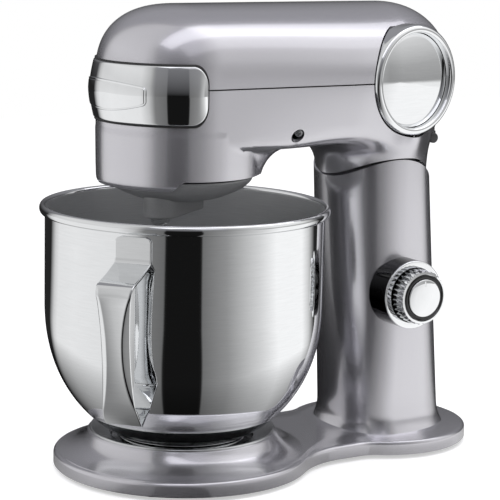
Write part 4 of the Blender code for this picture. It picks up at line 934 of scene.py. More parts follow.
@dataclass
class Head:
    """The tilting head: its two shells, medallions, screws, hinge and lever."""

    places: Places
    finishes: Finishes
    form: HeadForm
    crown: tuple[float, float, float] = (0.305, 0.3593, 0.30050)
    powers: Point = (2.5, 2.1)
    wall: float = 0.0028
    medal: tuple[float, float, float, float] = (0.0585, 0.301, 0.0435, 9.0)
    outlet_r: float = 0.0208
    seam: tuple[float, float, float] = (0.0585, 0.168, 0.181)
    lever: tuple[float, float, float] = (0.0130, 0.0565, 0.0062)
    lever_z: float = 0.2540
    lever_gap: float = 0.0009
    lever_drop: float = 0.0080
    knob: Point = (0.2270, 0.2480)
    medal_gap: float = 0.0009
    hinge_notch: Point = (0.0054, 0.0188)
    screw: Point = (0.0628, 0.2644)
    hinge_half: float = 0.0178
    rod_r: float = 0.0026
    bore_r: float = 0.0027
    knuckle_r: float = 0.0041

    def outline(self, u: float) -> tuple[Vector, Vector]:
        """Plan of the top shell's rim.

        Args:
            u: Share of the way round, from the rear.

        Returns:
            The rim point and the ridge point it closes on, both (x, y).
        """
        nose_y, nose_r = self.form.nose
        rear, tail_y = self.form.tail_rear[1], self.form.tail_y
        start, widest, power = self.form.swell
        half = abs(u - 0.5) * 2
        sign = 1 if u > 0.5 else -1
        if half < 0.30:
            a = half / 0.30 * math.pi / 2
            return (Vector((sign * nose_r * math.sin(a), nose_y - nose_r * math.cos(a))), Vector((0, nose_y)))
        if half < 0.54:
            share = (half - 0.30) / 0.24
            y = nose_y + (start - nose_y) * share
            return Vector((sign * (nose_r + (widest - nose_r) * ease(share)), y)), Vector((0, y))
        a = (half - 0.54) / 0.46 * math.pi / 2
        y = start + (tail_y + rear - start) * math.sin(a) ** (2 / power)
        x = sign * widest * max(math.cos(a), 0.0) ** (2 / power)
        return Vector((x, y)), Vector((0, min(y, tail_y)))

    def top_skin(self, u: float, v: float) -> Vector:
        """Point of the top shell: u round the rim, v from the rim to the ridge."""
        start, top, low = self.crown
        rim, ridge = self.outline(u)
        share = ease((rim.y - self.form.nose[0]) / (self.form.tail_y - self.form.nose[0]))
        power = self.powers[0] + (self.powers[1] - self.powers[0]) * share
        if v < 0.05:
            width, z = 1.0, low + (start - low) * v / 0.05
        else:
            a = (v - 0.05) / 0.95 * math.pi / 2
            width = max(math.cos(a), 0.0) ** (2 / power) if v < 1 else 0.0
            z = start + (top - start) * math.sin(a) ** (2 / power)
        spot = ridge + (rim - ridge) * width
        return Vector((spot.x, self.places.at(spot.y), z))

    def medal_place(self, side: int) -> Matrix:
        """Puts a mesh made about Z on a medallion's axis, its face outwards."""
        out, z, _, toe = self.medal
        normal = Vector((side * math.cos(math.radians(toe)), math.sin(math.radians(toe)), 0))
        turn = Vector((0, 0, 1)).rotation_difference(normal).to_matrix().to_4x4()
        return Matrix.Translation((side * out, self.places.column_y, z)) @ turn

    def shared_cuts(self, shell: bpy.types.Object) -> None:
        """Opens the outlet and the medallion seats in a shell."""
        spot = Matrix.Translation((0, self.places.at(-0.057), self.places.outlet_z))
        socket = placed(rod(self.outlet_r, 0.05, 96), spot @ Matrix.Rotation(math.pi / 2, 4, "X"))
        cut(shell, socket, crisp=30)
        for side in (1, -1):
            seat = rod(self.medal[2] + self.medal_gap, 0.025, 128)
            place = self.medal_place(side)
            cut(shell, placed(placed(seat, Matrix.Translation((0, 0, -0.0150))), place), crisp=30)

    def build_top(self) -> None:
        """Makes the rounded top shell."""
        top = finished("head_top", sheet_of(240, 36, self.top_skin), self.finishes.paint, 40)
        walled(top, self.wall)
        self.shared_cuts(top)
        rides(top, "head", Slot.PAINT, "head_top_shell")

    def build_lower(self) -> None:
        """Makes the lower shell: the drum round the planetary, the arm and the neck."""
        lower = self.form.skin("head_lower", 0.0, self.finishes.paint)
        core = self.form.skin("head_core", self.wall, self.finishes.paint, 0.004)
        tool = bmesh.new()
        tool.from_mesh(core.data)
        bpy.data.objects.remove(core)
        cut(lower, tool)
        at, nose_y = self.places.at, self.places.nose_y
        cut(lower, block((-0.2, -0.4, self.form.parting - 0.0005), (0.2, 0.4, 0.40)))
        cut(lower, placed(rod(0.0596, 0.0475, 160), Matrix.Translation((0, nose_y, 0.209))))
        ramp = [(at(-0.120), 0.20), (at(-0.120), 0.2250), (at(-0.0425), 0.2250), (at(-0.0412), 0.2256)]
        ramp += [(at(-0.0350), 0.2316), (at(-0.0336), 0.2325), (at(0.080), 0.2325), (at(0.080), 0.20)]
        step = outline_block([(z, y) for y, z in ramp], 0.16)
        turn = Matrix(((0, 0, 1, -0.08), (0, 1, 0, 0), (1, 0, 0, 0), (0, 0, 0, 1)))
        cut(lower, closed_up(placed(step, turn)))
        radius, y, z = self.seam
        cut(lower, placed(rod(radius, 0.2, 220), along_x((-0.1, at(y), z))))
        notch_r, notch_half = self.hinge_notch
        hinge = self.places.hinge
        cut(lower, placed(rod(notch_r, 2 * notch_half, 48), along_x((-notch_half, hinge.y, hinge.z))))
        half, _, thick = self.lever
        cut(lower, block((-half - self.lever_gap, at(0.205), self.lever_z - thick / 2 - self.lever_drop),
                         (half + self.lever_gap, at(0.245), self.lever_z + thick / 2 + 0.0012), 0.0012))
        for side in (1, -1):
            deep = Matrix.Translation((side * 0.0560, at(self.screw[0] + 0.0022), self.screw[1] + 0.0018))
            cut(lower, placed(rod(0.0045, 0.03, 64, 0.0054), deep @ self.screw_turn(side)))
        self.shared_cuts(lower)
        rides(lower, "head", Slot.PAINT, "head_lower_shell")

    @staticmethod
    def screw_turn(side: int) -> Matrix:
        """Turns a mesh made about Z onto an arm screw's slanted axis."""
        out = Vector((side * 0.74, -0.52, -0.43)).normalized()
        return out.to_track_quat("Z", "Y").to_matrix().to_4x4()

    def build_screws(self) -> None:
        """Makes the two arm screws, each with a cross recess."""
        head = [(0, 0), (0.0034, 0), (0.0034, 0.0028)]
        head += arc_line((0.0024, 0.0028), (0.0010, 0.0008), 0, 90, 4) + [(0, 0.0036)]
        for name, side in (("right", 1), ("left", -1)):
            screw = finished("arm_screw_new_" + name, turned(head, 40), self.finishes.bare_steel)
            for way in ((0.0022, 0.0004), (0.0004, 0.0022)):
                cut(screw, block((-way[0], -way[1], 0.0022), (way[0], way[1], 0.005)))
            spot = (side * 0.0562, self.places.at(self.screw[0] + 0.0021), self.screw[1] + 0.0017)
            screw.data.transform(Matrix.Translation(spot) @ self.screw_turn(side))
            rides(screw, "head", Slot.STEEL, "arm_screw_" + name)

    def build_medallions(self) -> None:
        """Makes the bright ring and domed disc on each side of the head's rear."""
        outer = self.medal[2]
        inner = outer - 0.0065
        ring = [(inner, -0.0128), (inner, -0.0016)]
        ring += arc_line((inner + 0.0018, -0.0010), (0.0018, 0.0028), 180, 90, 8)
        ring += arc_line((inner + 0.0030, -0.0030), (0.0035, 0.0048), 88, 12, 12)
        ring += [(outer, -0.0034), (outer, -0.0128)]
        disc = [(0, -0.0064), (0, -0.0004)]
        shares = (0.1, 0.25, 0.4, 0.55, 0.7, 0.8, 0.9, 0.96)
        disc += [(inner * t, -0.0004 - 0.0034 * t ** 2.0) for t in shares]
        disc += [(inner - 0.0004, -0.0040), (inner - 0.0004, -0.0064)]
        for name, side in (("right", 1), ("left", -1)):
            for kind, profile, finish, slot in (("ring", ring, self.finishes.chrome, Slot.CHROME),
                                                ("disc", disc, self.finishes.mirror, Slot.POLISHED)):
                medal = placed(turned(profile, 144), self.medal_place(side))
                piece = finished(f"medal_{kind}_{name}", medal, finish)
                rides(piece, "head", slot, f"medallion_{kind}_{name}")

    def build_hinge(self) -> None:
        """Makes the hinge's rod and two leaves, their slim knuckles about flush with the column's back."""
        y, z, pin = self.places.hinge.y, self.places.hinge.z, self.hinge_half
        axle = placed(rod(self.rod_r, 2 * pin + 0.0006, 48), along_x((-pin - 0.0003, y, z)))
        rides(finished("hinge_rod", axle, self.finishes.bare_steel), "stand", Slot.STEEL, "hinge_pin")
        sides = (("column", "stand", 0.0125, pin, -0.0180), ("head", "head", -0.0117, 0.0117, 0.0245))
        for name, body, low, high, reach in sides:
            bottom, top = sorted((z, z + reach))
            plate = block((-high, y - 0.0038, bottom), (high, y + 0.0004, top), 0.0004)
            leaf = finished(f"hinge_leaf_{name}", plate, self.finishes.bare_steel)
            if name == "column":
                cut(leaf, block((-low, y - 0.01, z - 0.0070), (low, y + 0.01, z + 0.01)))
                spans = ((-high, -low), (low, high))
            else:
                spans = ((low, high),)
            for start, end in spans:
                cut(leaf, placed(rod(self.knuckle_r, end - start, 48), along_x((start, y, z))), Cut.ONTO)
            cut(leaf, placed(rod(self.bore_r, 0.07, 48), along_x((-0.035, y, z))))
            rides(leaf, body, Slot.STEEL, f"{name}_hinge_bracket")

    def build_lever(self) -> None:
        """Makes the lock lever's tab, with its grooves, its round knob and its arm to the bolt."""
        half, reach, thick = self.lever
        y0, y1 = self.places.at(0.172 + 0.0190), self.places.at(0.172 + reach)
        knob = self.places.at(self.knob[0]), self.knob[1]
        z = self.lever_z
        tab = block((-half, y0, z - thick / 2), (half, y1, z + thick / 2))
        corners = [e for e in tab.edges if all(v.co.y > y1 - 1e-5 for v in e.verts)
                   and abs(e.verts[0].co.x - e.verts[1].co.x) < 1e-6]
        rounded(tab, corners, 0.0055, 8)
        edges = [e for e in tab.edges if len(e.link_faces) == 2 and e.calc_face_angle(0) > 0.9]
        rounded(tab, edges, 0.0014, 4)
        lever = finished("lock_tab", closed_up(tab), self.finishes.plastic, 40)
        for i in range(4):
            y = y1 - 0.0060 - 0.0034 * i
            cut(lever, block((-half + 0.004, y - 0.0006, z + thick / 2 - 0.0005),
                             (half - 0.004, y + 0.0006, z + thick / 2 + 0.002)))
        grip = [(0, -0.0115), (0.0030, -0.0115)] + arc_line((0.0030, -0.0103), (0.0012, 0.0012), -90, 0, 5)
        grip += arc_line((0.0030, 0.0103), (0.0012, 0.0012), 0, 90, 5) + [(0, 0.0115)]
        cut(lever, placed(turned(grip, 48), along_x((0, *knob))), Cut.ONTO)
        web = block((-0.0105, knob[0] - 0.0038, knob[1]), (0.0105, knob[0] + 0.0020, z), 0.0006)
        cut(lever, web, Cut.ONTO)
        arm_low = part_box("lock_lever")[0].z
        pivot = self.places.middle("lever_pin")
        cut(lever, block((-0.005, pivot.y - 0.003, arm_low), (0.005, pivot.y + 0.003, z), 0.0006), Cut.ONTO)
        cut(lever, placed(rod(0.0023, 0.06, 32), along_x((-0.03, pivot.y, pivot.z))))
        rides(lever, "lock_lever", Slot.PLASTIC, "lock_lever")


# ---------------------------------------------------------------- the outlet's cover
@dataclass
class PortCover:
    """Bright band round the nose that hides the front outlet, with a blank plate on it."""

    places: Places
    finishes: Finishes
    span: float = math.radians(79.4)
    centre_z: float = 0.2958
    half: float = 0.0220
    corner: Point = (0.012, 0.016)
    bulge: Point = (0.0679, 0.0645)
    wall: float = 0.0009
    plate_span: float = math.radians(40)
    plate: tuple[float, float, float, float] = (0.3019, 0.0036, 0.2887, 0.0067)

    def radius(self, z: float) -> float:
        """Outer radius of the band at a height, before its ends round off."""
        drop = abs(z - self.centre_z) / self.half
        return self.bulge[0] - (self.bulge[0] - self.bulge[1]) * drop ** 1.6

    def band(self, u: float, v: float) -> Vector:
        """Point of the band's outer skin."""
        side = math.sin((u - 0.5) * math.pi)
        turn = self.span * side
        left = self.span * self.bulge[0] * (1 - abs(side))
        width, height = self.corner
        part = min(left / width, 1.0)
        reach = self.half - height * (1 - math.sqrt(max(1 - (1 - part) ** 2, 0.0)))
        z = self.centre_z + (2 * v - 1) * reach
        fade = math.sqrt(max(1 - (1 - min(left / 0.009, 1.0)) ** 2, 0.0))
        rim = math.sqrt(max(1 - (1 - min((reach - abs(z - self.centre_z)) / 0.0016, 1.0)) ** 2, 0.0))
        r = self.bulge[1] + (self.radius(z) - self.bulge[1]) * fade - 0.0006 * (1 - rim)
        return Vector((r * math.sin(turn), self.places.nose_y - r * math.cos(turn), z))

    def painted_gap_shade(self, u: float, v: float) -> Vector:
        """Point of the dark strip behind the band, a little larger than it: painted shade standing in for the
        shadowed gap round the band's edge.
        """
        grown = PortCover(self.places, self.finishes, span=self.span + 0.0180, half=self.half + 0.0012)
        p = grown.band(u, v)
        flat = Vector((p.x, p.y - self.places.nose_y))
        flat = flat.normalized() * (self.bulge[1] - 0.0006)
        return Vector((flat.x, self.places.nose_y + flat.y, p.z))

    def plaque(self, u: float, v: float) -> Vector:
        """Point of the plate's face, with a fine line cut inside its edge."""
        side = 2 * u - 1
        length = self.plate_span * self.bulge[0]
        left = length * (1 - abs(side))
        high = self.plate[0] + self.plate[1] * (1 - side * side)
        low = self.plate[2] - self.plate[3] * (1 - side * side)
        corner = 0.0035
        trim = corner * (1 - math.sqrt(max(1 - (1 - min(left / corner, 1.0)) ** 2, 0.0)))
        middle, reach = (high + low) / 2, (high - low) / 2 - trim
        z = middle + (2 * v - 1) * reach
        edge = min(left, reach - abs(z - middle))
        line = math.exp(-((edge - 0.0016) / 0.00032) ** 2)
        rim = min(edge / 0.0006, 1.0)
        r = self.radius(z) + 0.00075 * math.sqrt(max(1 - (1 - rim) ** 2, 0.0)) - 0.00028 * line
        turn = self.plate_span * side
        return Vector((r * math.sin(turn), self.places.nose_y - r * math.cos(turn), z))

    def build(self) -> None:
        """Makes the band, the dark strip of painted shade round its edge, and its plate."""
        band = finished("cover_band", sheet_of(200, 44, self.band), self.finishes.chrome, 50)
        walled(band, self.wall)
        rides(band, "cover", Slot.CHROME, "port_cover")
        # Dark strip just outside the band's edge: painted shade standing in for the shadowed gap round it.
        painted_gap_shade = finished("cover_painted_gap_shade", sheet_of(160, 12, self.painted_gap_shade), self.finishes.rubber, 50)
        walled(painted_gap_shade, 0.0003)
        rides(painted_gap_shade, "cover", Slot.RUBBER)
        plate = finished("cover_plate", sheet_of(260, 72, self.plaque), self.finishes.chrome, 60)
        walled(plate, 0.0007)
        rides(plate, "cover", Slot.POLISHED, "cover_plaque")


# ---------------------------------------------------------------- the planetary drive
@dataclass
class Planetary:
    """Domed rotor under the drum, its arm, and the attachment shaft."""

    places: Places
    finishes: Finishes
    dome: tuple[Point, ...] = ((0.0570, 0.2292), (0.0556, 0.2266), (0.0520, 0.2232), (0.0480, 0.2205),
                               (0.0390, 0.2165), (0.0310, 0.2137), (0.0200, 0.2122), (0.0, 0.2118))
    arm_half: float = 0.013
    tail: float = 0.018
    arm_low: float = 0.2008
    shaft_r: float = 0.0055

    def build(self) -> None:
        """Makes the rotor, the shaft and its cross pin."""
        nose = Vector((0, self.places.nose_y, 0))
        axis = Vector((self.places.shaft.x, self.places.shaft.y, 0))
        out = (axis - nose).normalized()
        eccentric = (axis - nose).length
        profile = [(0, 0.2305), (0.0565, 0.2305)] + smooth_line(self.dome, 6)
        rotor = finished("planet_rotor", turned(profile, 160, nose), self.finishes.planet_grey, 40)
        plan = [(-self.tail, -self.arm_half)]
        plan += [(eccentric + x, y) for x, y in arc_line((0, 0), (self.arm_half, self.arm_half), -90, 90, 28)]
        plan += [(-self.tail, self.arm_half)]
        arm = outline_block(plan, 0.2240 - self.arm_low)
        for vert in arm.verts:
            if vert.co.z < 1e-6:
                vert.co.z = 0.0012 * max(0.0, (0.012 - vert.co.x) / (0.012 + self.tail))
        low = [e for e in arm.edges if all(v.co.z < 0.0065 for v in e.verts)]
        rounded(arm, low, 0.0017, 4)
        turn = Matrix(((out.x, -out.y, 0, 0), (out.y, out.x, 0, nose.y), (0, 0, 1, self.arm_low),
                       (0, 0, 0, 1)))
        cut(rotor, closed_up(placed(arm, turn)), Cut.ONTO, 40)
        bore = placed(rod(self.shaft_r + 0.0006, 0.04, 64), Matrix.Translation((axis.x, axis.y, 0.195)))
        cut(rotor, bore, crisp=40)
        rides(rotor, "planetary", Slot.CASTING, "planetary_housing")
        pin_z = self.places.middle("drive_pin").z
        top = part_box("attachment_shaft")[1].z
        low_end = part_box("attachment_shaft")[0].z
        r = self.shaft_r
        line = [(0, top), (r, top), (r, self.arm_low - 0.0004), (0.0072, self.arm_low - 0.0008)]
        line += [(0.0072, 0.1975)]
        line += [(0.0066, 0.1969), (r, 0.1967), (r, 0.1840), (0.0049, 0.1834), (0.0049, 0.1822), (r, 0.1816)]
        line += [(r, low_end + 0.0016)]
        line += arc_line((r - 0.0014, low_end + 0.0014), (0.0014, 0.0014), 0, -90, 5)
        shaft = finished("drive_shaft", turned(line + [(0, low_end)], 64, axis), self.finishes.bare_steel)
        rides(shaft, "attachment", Slot.STEEL, "attachment_shaft")
        half = (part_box("drive_pin")[1].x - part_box("drive_pin")[0].x) / 2
        ends = arc_line((0.0014, half - 0.0006), (0.0006, 0.0006), 0, 90, 4)
        pin_line = [(0, -half)] + [(x, -z) for x, z in ends[::-1]] + ends + [(0, half)]
        pin = placed(turned(pin_line, 32), along_x((axis.x, axis.y, pin_z)))
        rides(finished("cross_pin", pin, self.finishes.bare_steel), "attachment", Slot.STEEL, "drive_pin")


# ---------------------------------------------------------------- the bowl
@dataclass
class Bowl:
    """Polished bowl with a rolled rim, a foot with bayonet lugs and a folded strap handle."""

    places: Places
    finishes: Finishes
    radius: float = 0.1072
    shoulder: float = 0.131
    depth: float = 0.114
    power: float = 2.15
    foot_r: float = 0.0485
    wall: float = 0.0012
    rim: tuple[float, float, float] = (0.1114, 0.2074, 0.0080)
    foot_low: float = 0.0178
    handle_turn: float = math.radians(-50)
    handle_width: float = 0.0276
    handle_thick: float = 0.0017
    flange_slope: float = 1.15

    def curve(self, inset: float, steps: int = 44) -> list[Point]:
        """The round bottom from the shoulder down to the foot."""
        radius, depth = self.radius - inset, self.depth - inset
        end = math.acos((self.foot_r / radius) ** (self.power / 2))
        turns = [end * i / steps for i in range(steps + 1)]
        power = 2 / self.power
        return [(radius * math.cos(a) ** power, self.shoulder - depth * math.sin(a) ** power) for a in turns]

    def build(self) -> None:
        """Makes the bowl, its foot and its handle."""
        place = (0, self.places.bowl_y, 0)
        out_r, top, deep = self.rim
        low = top - deep
        outer, inner = self.curve(0), self.curve(self.wall)
        lip_in = self.radius - self.wall
        roll = [(lip_in, top - 0.0045)]
        roll += arc_line((lip_in + 0.0028, top - 0.0030), (0.0028, 0.0030), 170, 90, 8)
        roll += arc_line((out_r - 0.0026, top - 0.0038), (0.0026, 0.0038), 88, -80, 16)
        roll += [(self.radius + 0.0012, low + 0.0004), (self.radius, low + 0.0002)]
        straight = [(self.radius, low - 0.010), (self.radius, self.shoulder + 0.02)]
        profile = [(0, inner[-1][1])] + inner[::-1] + [(lip_in, self.shoulder + 0.03)] + roll + straight
        profile += outer + [(0, outer[-1][1])]
        bowl = finished("bowl_body", turned(profile, 192, place), self.finishes.mirror, 40)
        bowl.data.materials.append(self.finishes.brushed)
        self.brush_inside(bowl, lip_in, top)
        rides(bowl, "bowl", Slot.POLISHED, "bowl")
        self.build_foot(outer[-1][1], place)
        self.build_handle()

    def brush_inside(self, bowl: bpy.types.Object, lip_in: float, top: float) -> None:
        """Gives the faces inside the bowl the brushed finish."""
        for face in bowl.data.polygons:
            flat = Vector((face.center.x, face.center.y - self.places.bowl_y, 0))
            inward = flat.dot(face.normal) < 0 or (face.normal.z > 0.3 and flat.length < lip_in - 0.001)
            if inward and face.center.z < top - 0.0030 and flat.length < lip_in + 0.0002:
                face.material_index = 1

    def build_foot(self, top: float, place: Sequence[float]) -> None:
        """Makes the foot ring and the three lugs that turn under the seat's hooks."""
        r, low = self.foot_r, self.foot_low
        ring = [(r - 0.0034, top - 0.0003), (r + 0.0009, top - 0.0003)]
        ring += arc_line((r + 0.0002, top - 0.0016), (0.0007, 0.0007), 60, -20, 4)
        ring += [(r - 0.0002, top - 0.0030), (r, low + 0.0008)]
        ring += arc_line((r - 0.0008, low + 0.0008), (0.0008, 0.0008), 0, -90, 4)
        ring += [(r - 0.0034, low)]
        foot = finished("bowl_ring", turned(ring, 160, place), self.finishes.mirror, 40)
        for i in range(3):
            middle = 120 * i
            plan = arc_line((0, 0), (0.0518, 0.0518), middle - 15, middle + 15, 16)
            plan += arc_line((0, 0), (r - 0.001, r - 0.001), middle + 15, middle - 15, 10)
            lug = outline_block(plan, 0.0024)
            cut(foot, placed(lug, Matrix.Translation((0, self.places.bowl_y, low + 0.0004))), Cut.ONTO, 40)
        rides(foot, "bowl", Slot.POLISHED, "bowl_foot")

    def strap_path(self) -> list[Point]:
        """Middle line of the strap, as (radius, height), from the top weld to the lower one."""
        wall = self.radius + self.handle_thick
        top = [(wall, 0.1980), (wall, 0.1900), (wall, 0.1815), (wall + 0.0012, 0.1782)]
        bend = [(0.1255, 0.1732), (0.1400, 0.1694), (0.1440, 0.1671)]
        grip = [(0.1458, 0.1610), (0.1462, 0.1500), (0.1457, 0.1350), (0.1440, 0.1180), (0.1407, 0.1000),
                (0.1355, 0.0830), (0.1292, 0.0700), (0.1243, 0.0638), (0.1222, 0.0622)]
        tail = [(0.1190, 0.0618), (0.1060, 0.0640), (0.0915, 0.0655)]
        line = smooth_line(top, 6)[:-1] + smooth_line(bend, 6)[:-1]
        return line + smooth_line(grip, 8)[:-1] + smooth_line(tail, 8)

    def strap(self, path: Sequence[Point], u: float, v: float) -> Vector:
        """Point of the strap's outer face.

        Args:
            path: The strap's middle line.
            u: Share of the way along it.
            v: Share of the way across it.

        Returns:
            The point, in the frame.
        """
        spot = u * (len(path) - 1)
        i = min(int(spot), len(path) - 2)
        a, b = Vector(path[i]), Vector(path[i + 1])
        p = a.lerp(b, spot - i)
        before, after = Vector(path[max(i - 1, 0)]), Vector(path[min(i + 2, len(path) - 1)])
        way = (after - before).normalized()
        normal = Vector((-way.y, way.x))
        if normal.x < 0 and p.y > 0.07:
            normal = -normal
        down = min(max((0.1660 - p.y) / 0.10, 0.0), 1.0) if p.x > 0.121 else (1.0 if p.y < 0.08 else 0.0)
        grip = ease((0.1690 - p.y) / 0.014) * ease((p.y - 0.0630) / 0.012) if p.x > 0.121 else 0.0
        half = self.handle_width / 2 * (1 - 0.21 * math.sin(math.pi * min(down * 1.02, 1.0)) ** 0.8 * grip)
        if p.y < 0.08 and p.x <= 0.1222:
            half *= 0.55 + 0.45 * (p.x - 0.0915) / 0.0307
        trim = 0.0040
        start = 0.1980 - p.y
        if p.x < self.radius + 0.003 and start < trim:
            half -= trim * (1 - math.sqrt(max(1 - (1 - start / trim) ** 2, 0.0)))
        s = 2 * v - 1
        arch = math.sin(math.pi * min(max((0.1665 - p.y) / 0.092, 0.0), 1.0)) ** 0.8 if p.x > 0.121 else 0.0
        flange = max(0.0, abs(s) - 1 + 0.46 * arch)
        across = half * s
        fold = -self.flange_slope * half * flange * flange / (flange + 0.10)
        p = p + normal * (fold - 0.0006 * grip * (1 - s * s))
        out = Vector((math.cos(self.handle_turn), math.sin(self.handle_turn), 0))
        side = Vector((-out.y, out.x, 0))
        return Vector((0, self.places.bowl_y, p.y)) + out * p.x + side * across

    def build_handle(self) -> None:
        """Makes the strap handle."""
        path = self.strap_path()
        skin = sheet_of(150, 40, lambda u, v: self.strap(path, u, v))
        handle = finished("strap_handle", skin, self.finishes.mirror, 34)
        walled(handle, self.handle_thick)
        rides(handle, "bowl", Slot.POLISHED, "bowl_handle")


# ---------------------------------------------------------------- the speed dial
@dataclass
class Dial:
    """Collar on the column with a bright ring, fluted grip, dark trim and bright face with a short mark."""

    places: Places
    finishes: Finishes
    bezel_r: float = 0.0273
    bezel_out: float = 0.0650
    grip_r: float = 0.0215
    face_r: float = 0.0150
    trim_r: float = 0.0184
    flutes: int = 32

    def build(self) -> None:
        """Makes the collar, its ring, the grip, the trim and the face."""
        spot = (0, self.places.column_y, self.places.dial_z)
        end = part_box("dial_face")[1].x
        out = self.bezel_out
        bezel = [(0.0036, 0.044), (0.0036, out - 0.0016), (self.bezel_r, out - 0.0016)]
        bezel += [(self.bezel_r - 0.0002, 0.050), (self.bezel_r + 0.0006, 0.030), (0.0036, 0.030)]
        ring = finished("dial_collar", placed(turned(bezel, 128), along_x(spot)), self.finishes.collar, 40)
        front = [(self.grip_r + 0.0004, out - 0.0015), (self.grip_r + 0.0004, out - 0.0004)]
        front += arc_line((self.grip_r + 0.0010, out - 0.0006), (0.0006, 0.0006), 180, 90, 4)
        front += arc_line((self.bezel_r - 0.0010, out - 0.0010), (0.0010, 0.0010), 90, 0, 6)
        front += [(self.bezel_r, out - 0.0015)]
        face_ring = finished("dial_ring", placed(turned(front, 144), along_x(spot)), self.finishes.chrome, 40)
        rides(face_ring, "stand", Slot.CHROME)
        y, z = spot[1], spot[2]
        cut(ring, block((0.0, y - 0.04, z - 0.04), (0.0425, y + 0.04, z + 0.04)))
        rides(ring, "stand", Slot.DARK_CHROME, "dial_bezel")
        back = out + 0.0006
        steps_per_flute = 8

        def grip(u: float, v: float) -> Vector:
            """Point of the grip: u round it, v along its outline, with flutes on its outer rows."""
            turn = 2 * math.pi * u
            rows = ((0.0, back), (self.grip_r - 0.0006, back), (self.grip_r, back + 0.0007),
                    (self.grip_r, end - 0.0034), (self.grip_r - 0.0003, end - 0.0026),
                    (self.grip_r - 0.0010, end - 0.0018), (self.trim_r + 0.0004, end - 0.0016),
                    (self.trim_r + 0.0003, end - 0.0060), (0.0, end - 0.0060))
            r, x = rows[int(round(v * (len(rows) - 1)))]
            if r > self.grip_r - 0.0008:
                r -= 0.0009 * (1 + math.cos(turn * self.flutes + 700 * (x - back)))
            return Vector((x, spot[1] + r * math.cos(turn), spot[2] + r * math.sin(turn)))

        fluted = sheet_of(self.flutes * steps_per_flute, 8, grip)
        knob = finished("dial_knob", fluted, self.finishes.chrome, 34)
        rides(knob, "speed_dial", Slot.DARK_CHROME, "dial_grip")
        line = [(0, end - 0.0056), (self.trim_r, end - 0.0056), (self.trim_r, end - 0.0016)]
        line += [(self.trim_r - 0.0010, end - 0.0011), (self.trim_r - 0.0016, end - 0.0018)]
        line += [(self.face_r + 0.0003, end - 0.0018), (self.face_r + 0.0003, end - 0.0050)]
        line += [(0, end - 0.0050)]
        trim = finished("dial_trim", placed(turned(line, 144), along_x(spot)), self.finishes.collar, 34)
        rides(trim, "speed_dial", Slot.DARK_CHROME)
        face = [(0, end - 0.0048), (self.face_r, end - 0.0048), (self.face_r, end - 0.0012)]
        face += arc_line((self.face_r - 0.0008, end - 0.0012), (0.0008, 0.0008), 0, 90, 4)
        face += [(self.face_r * 0.6, end - 0.0001), (0, end)]
        disc = finished("dial_disc", placed(turned(face, 128), along_x(spot)), self.finishes.chrome, 40)
        mark = block((end - 0.0003, y - 0.0003, z + 0.0095), (end + 0.002, y + 0.0003, z + 0.0130))
        cut(disc, mark, crisp=40)
        rides(disc, "speed_dial", Slot.CHROME, "dial_face")


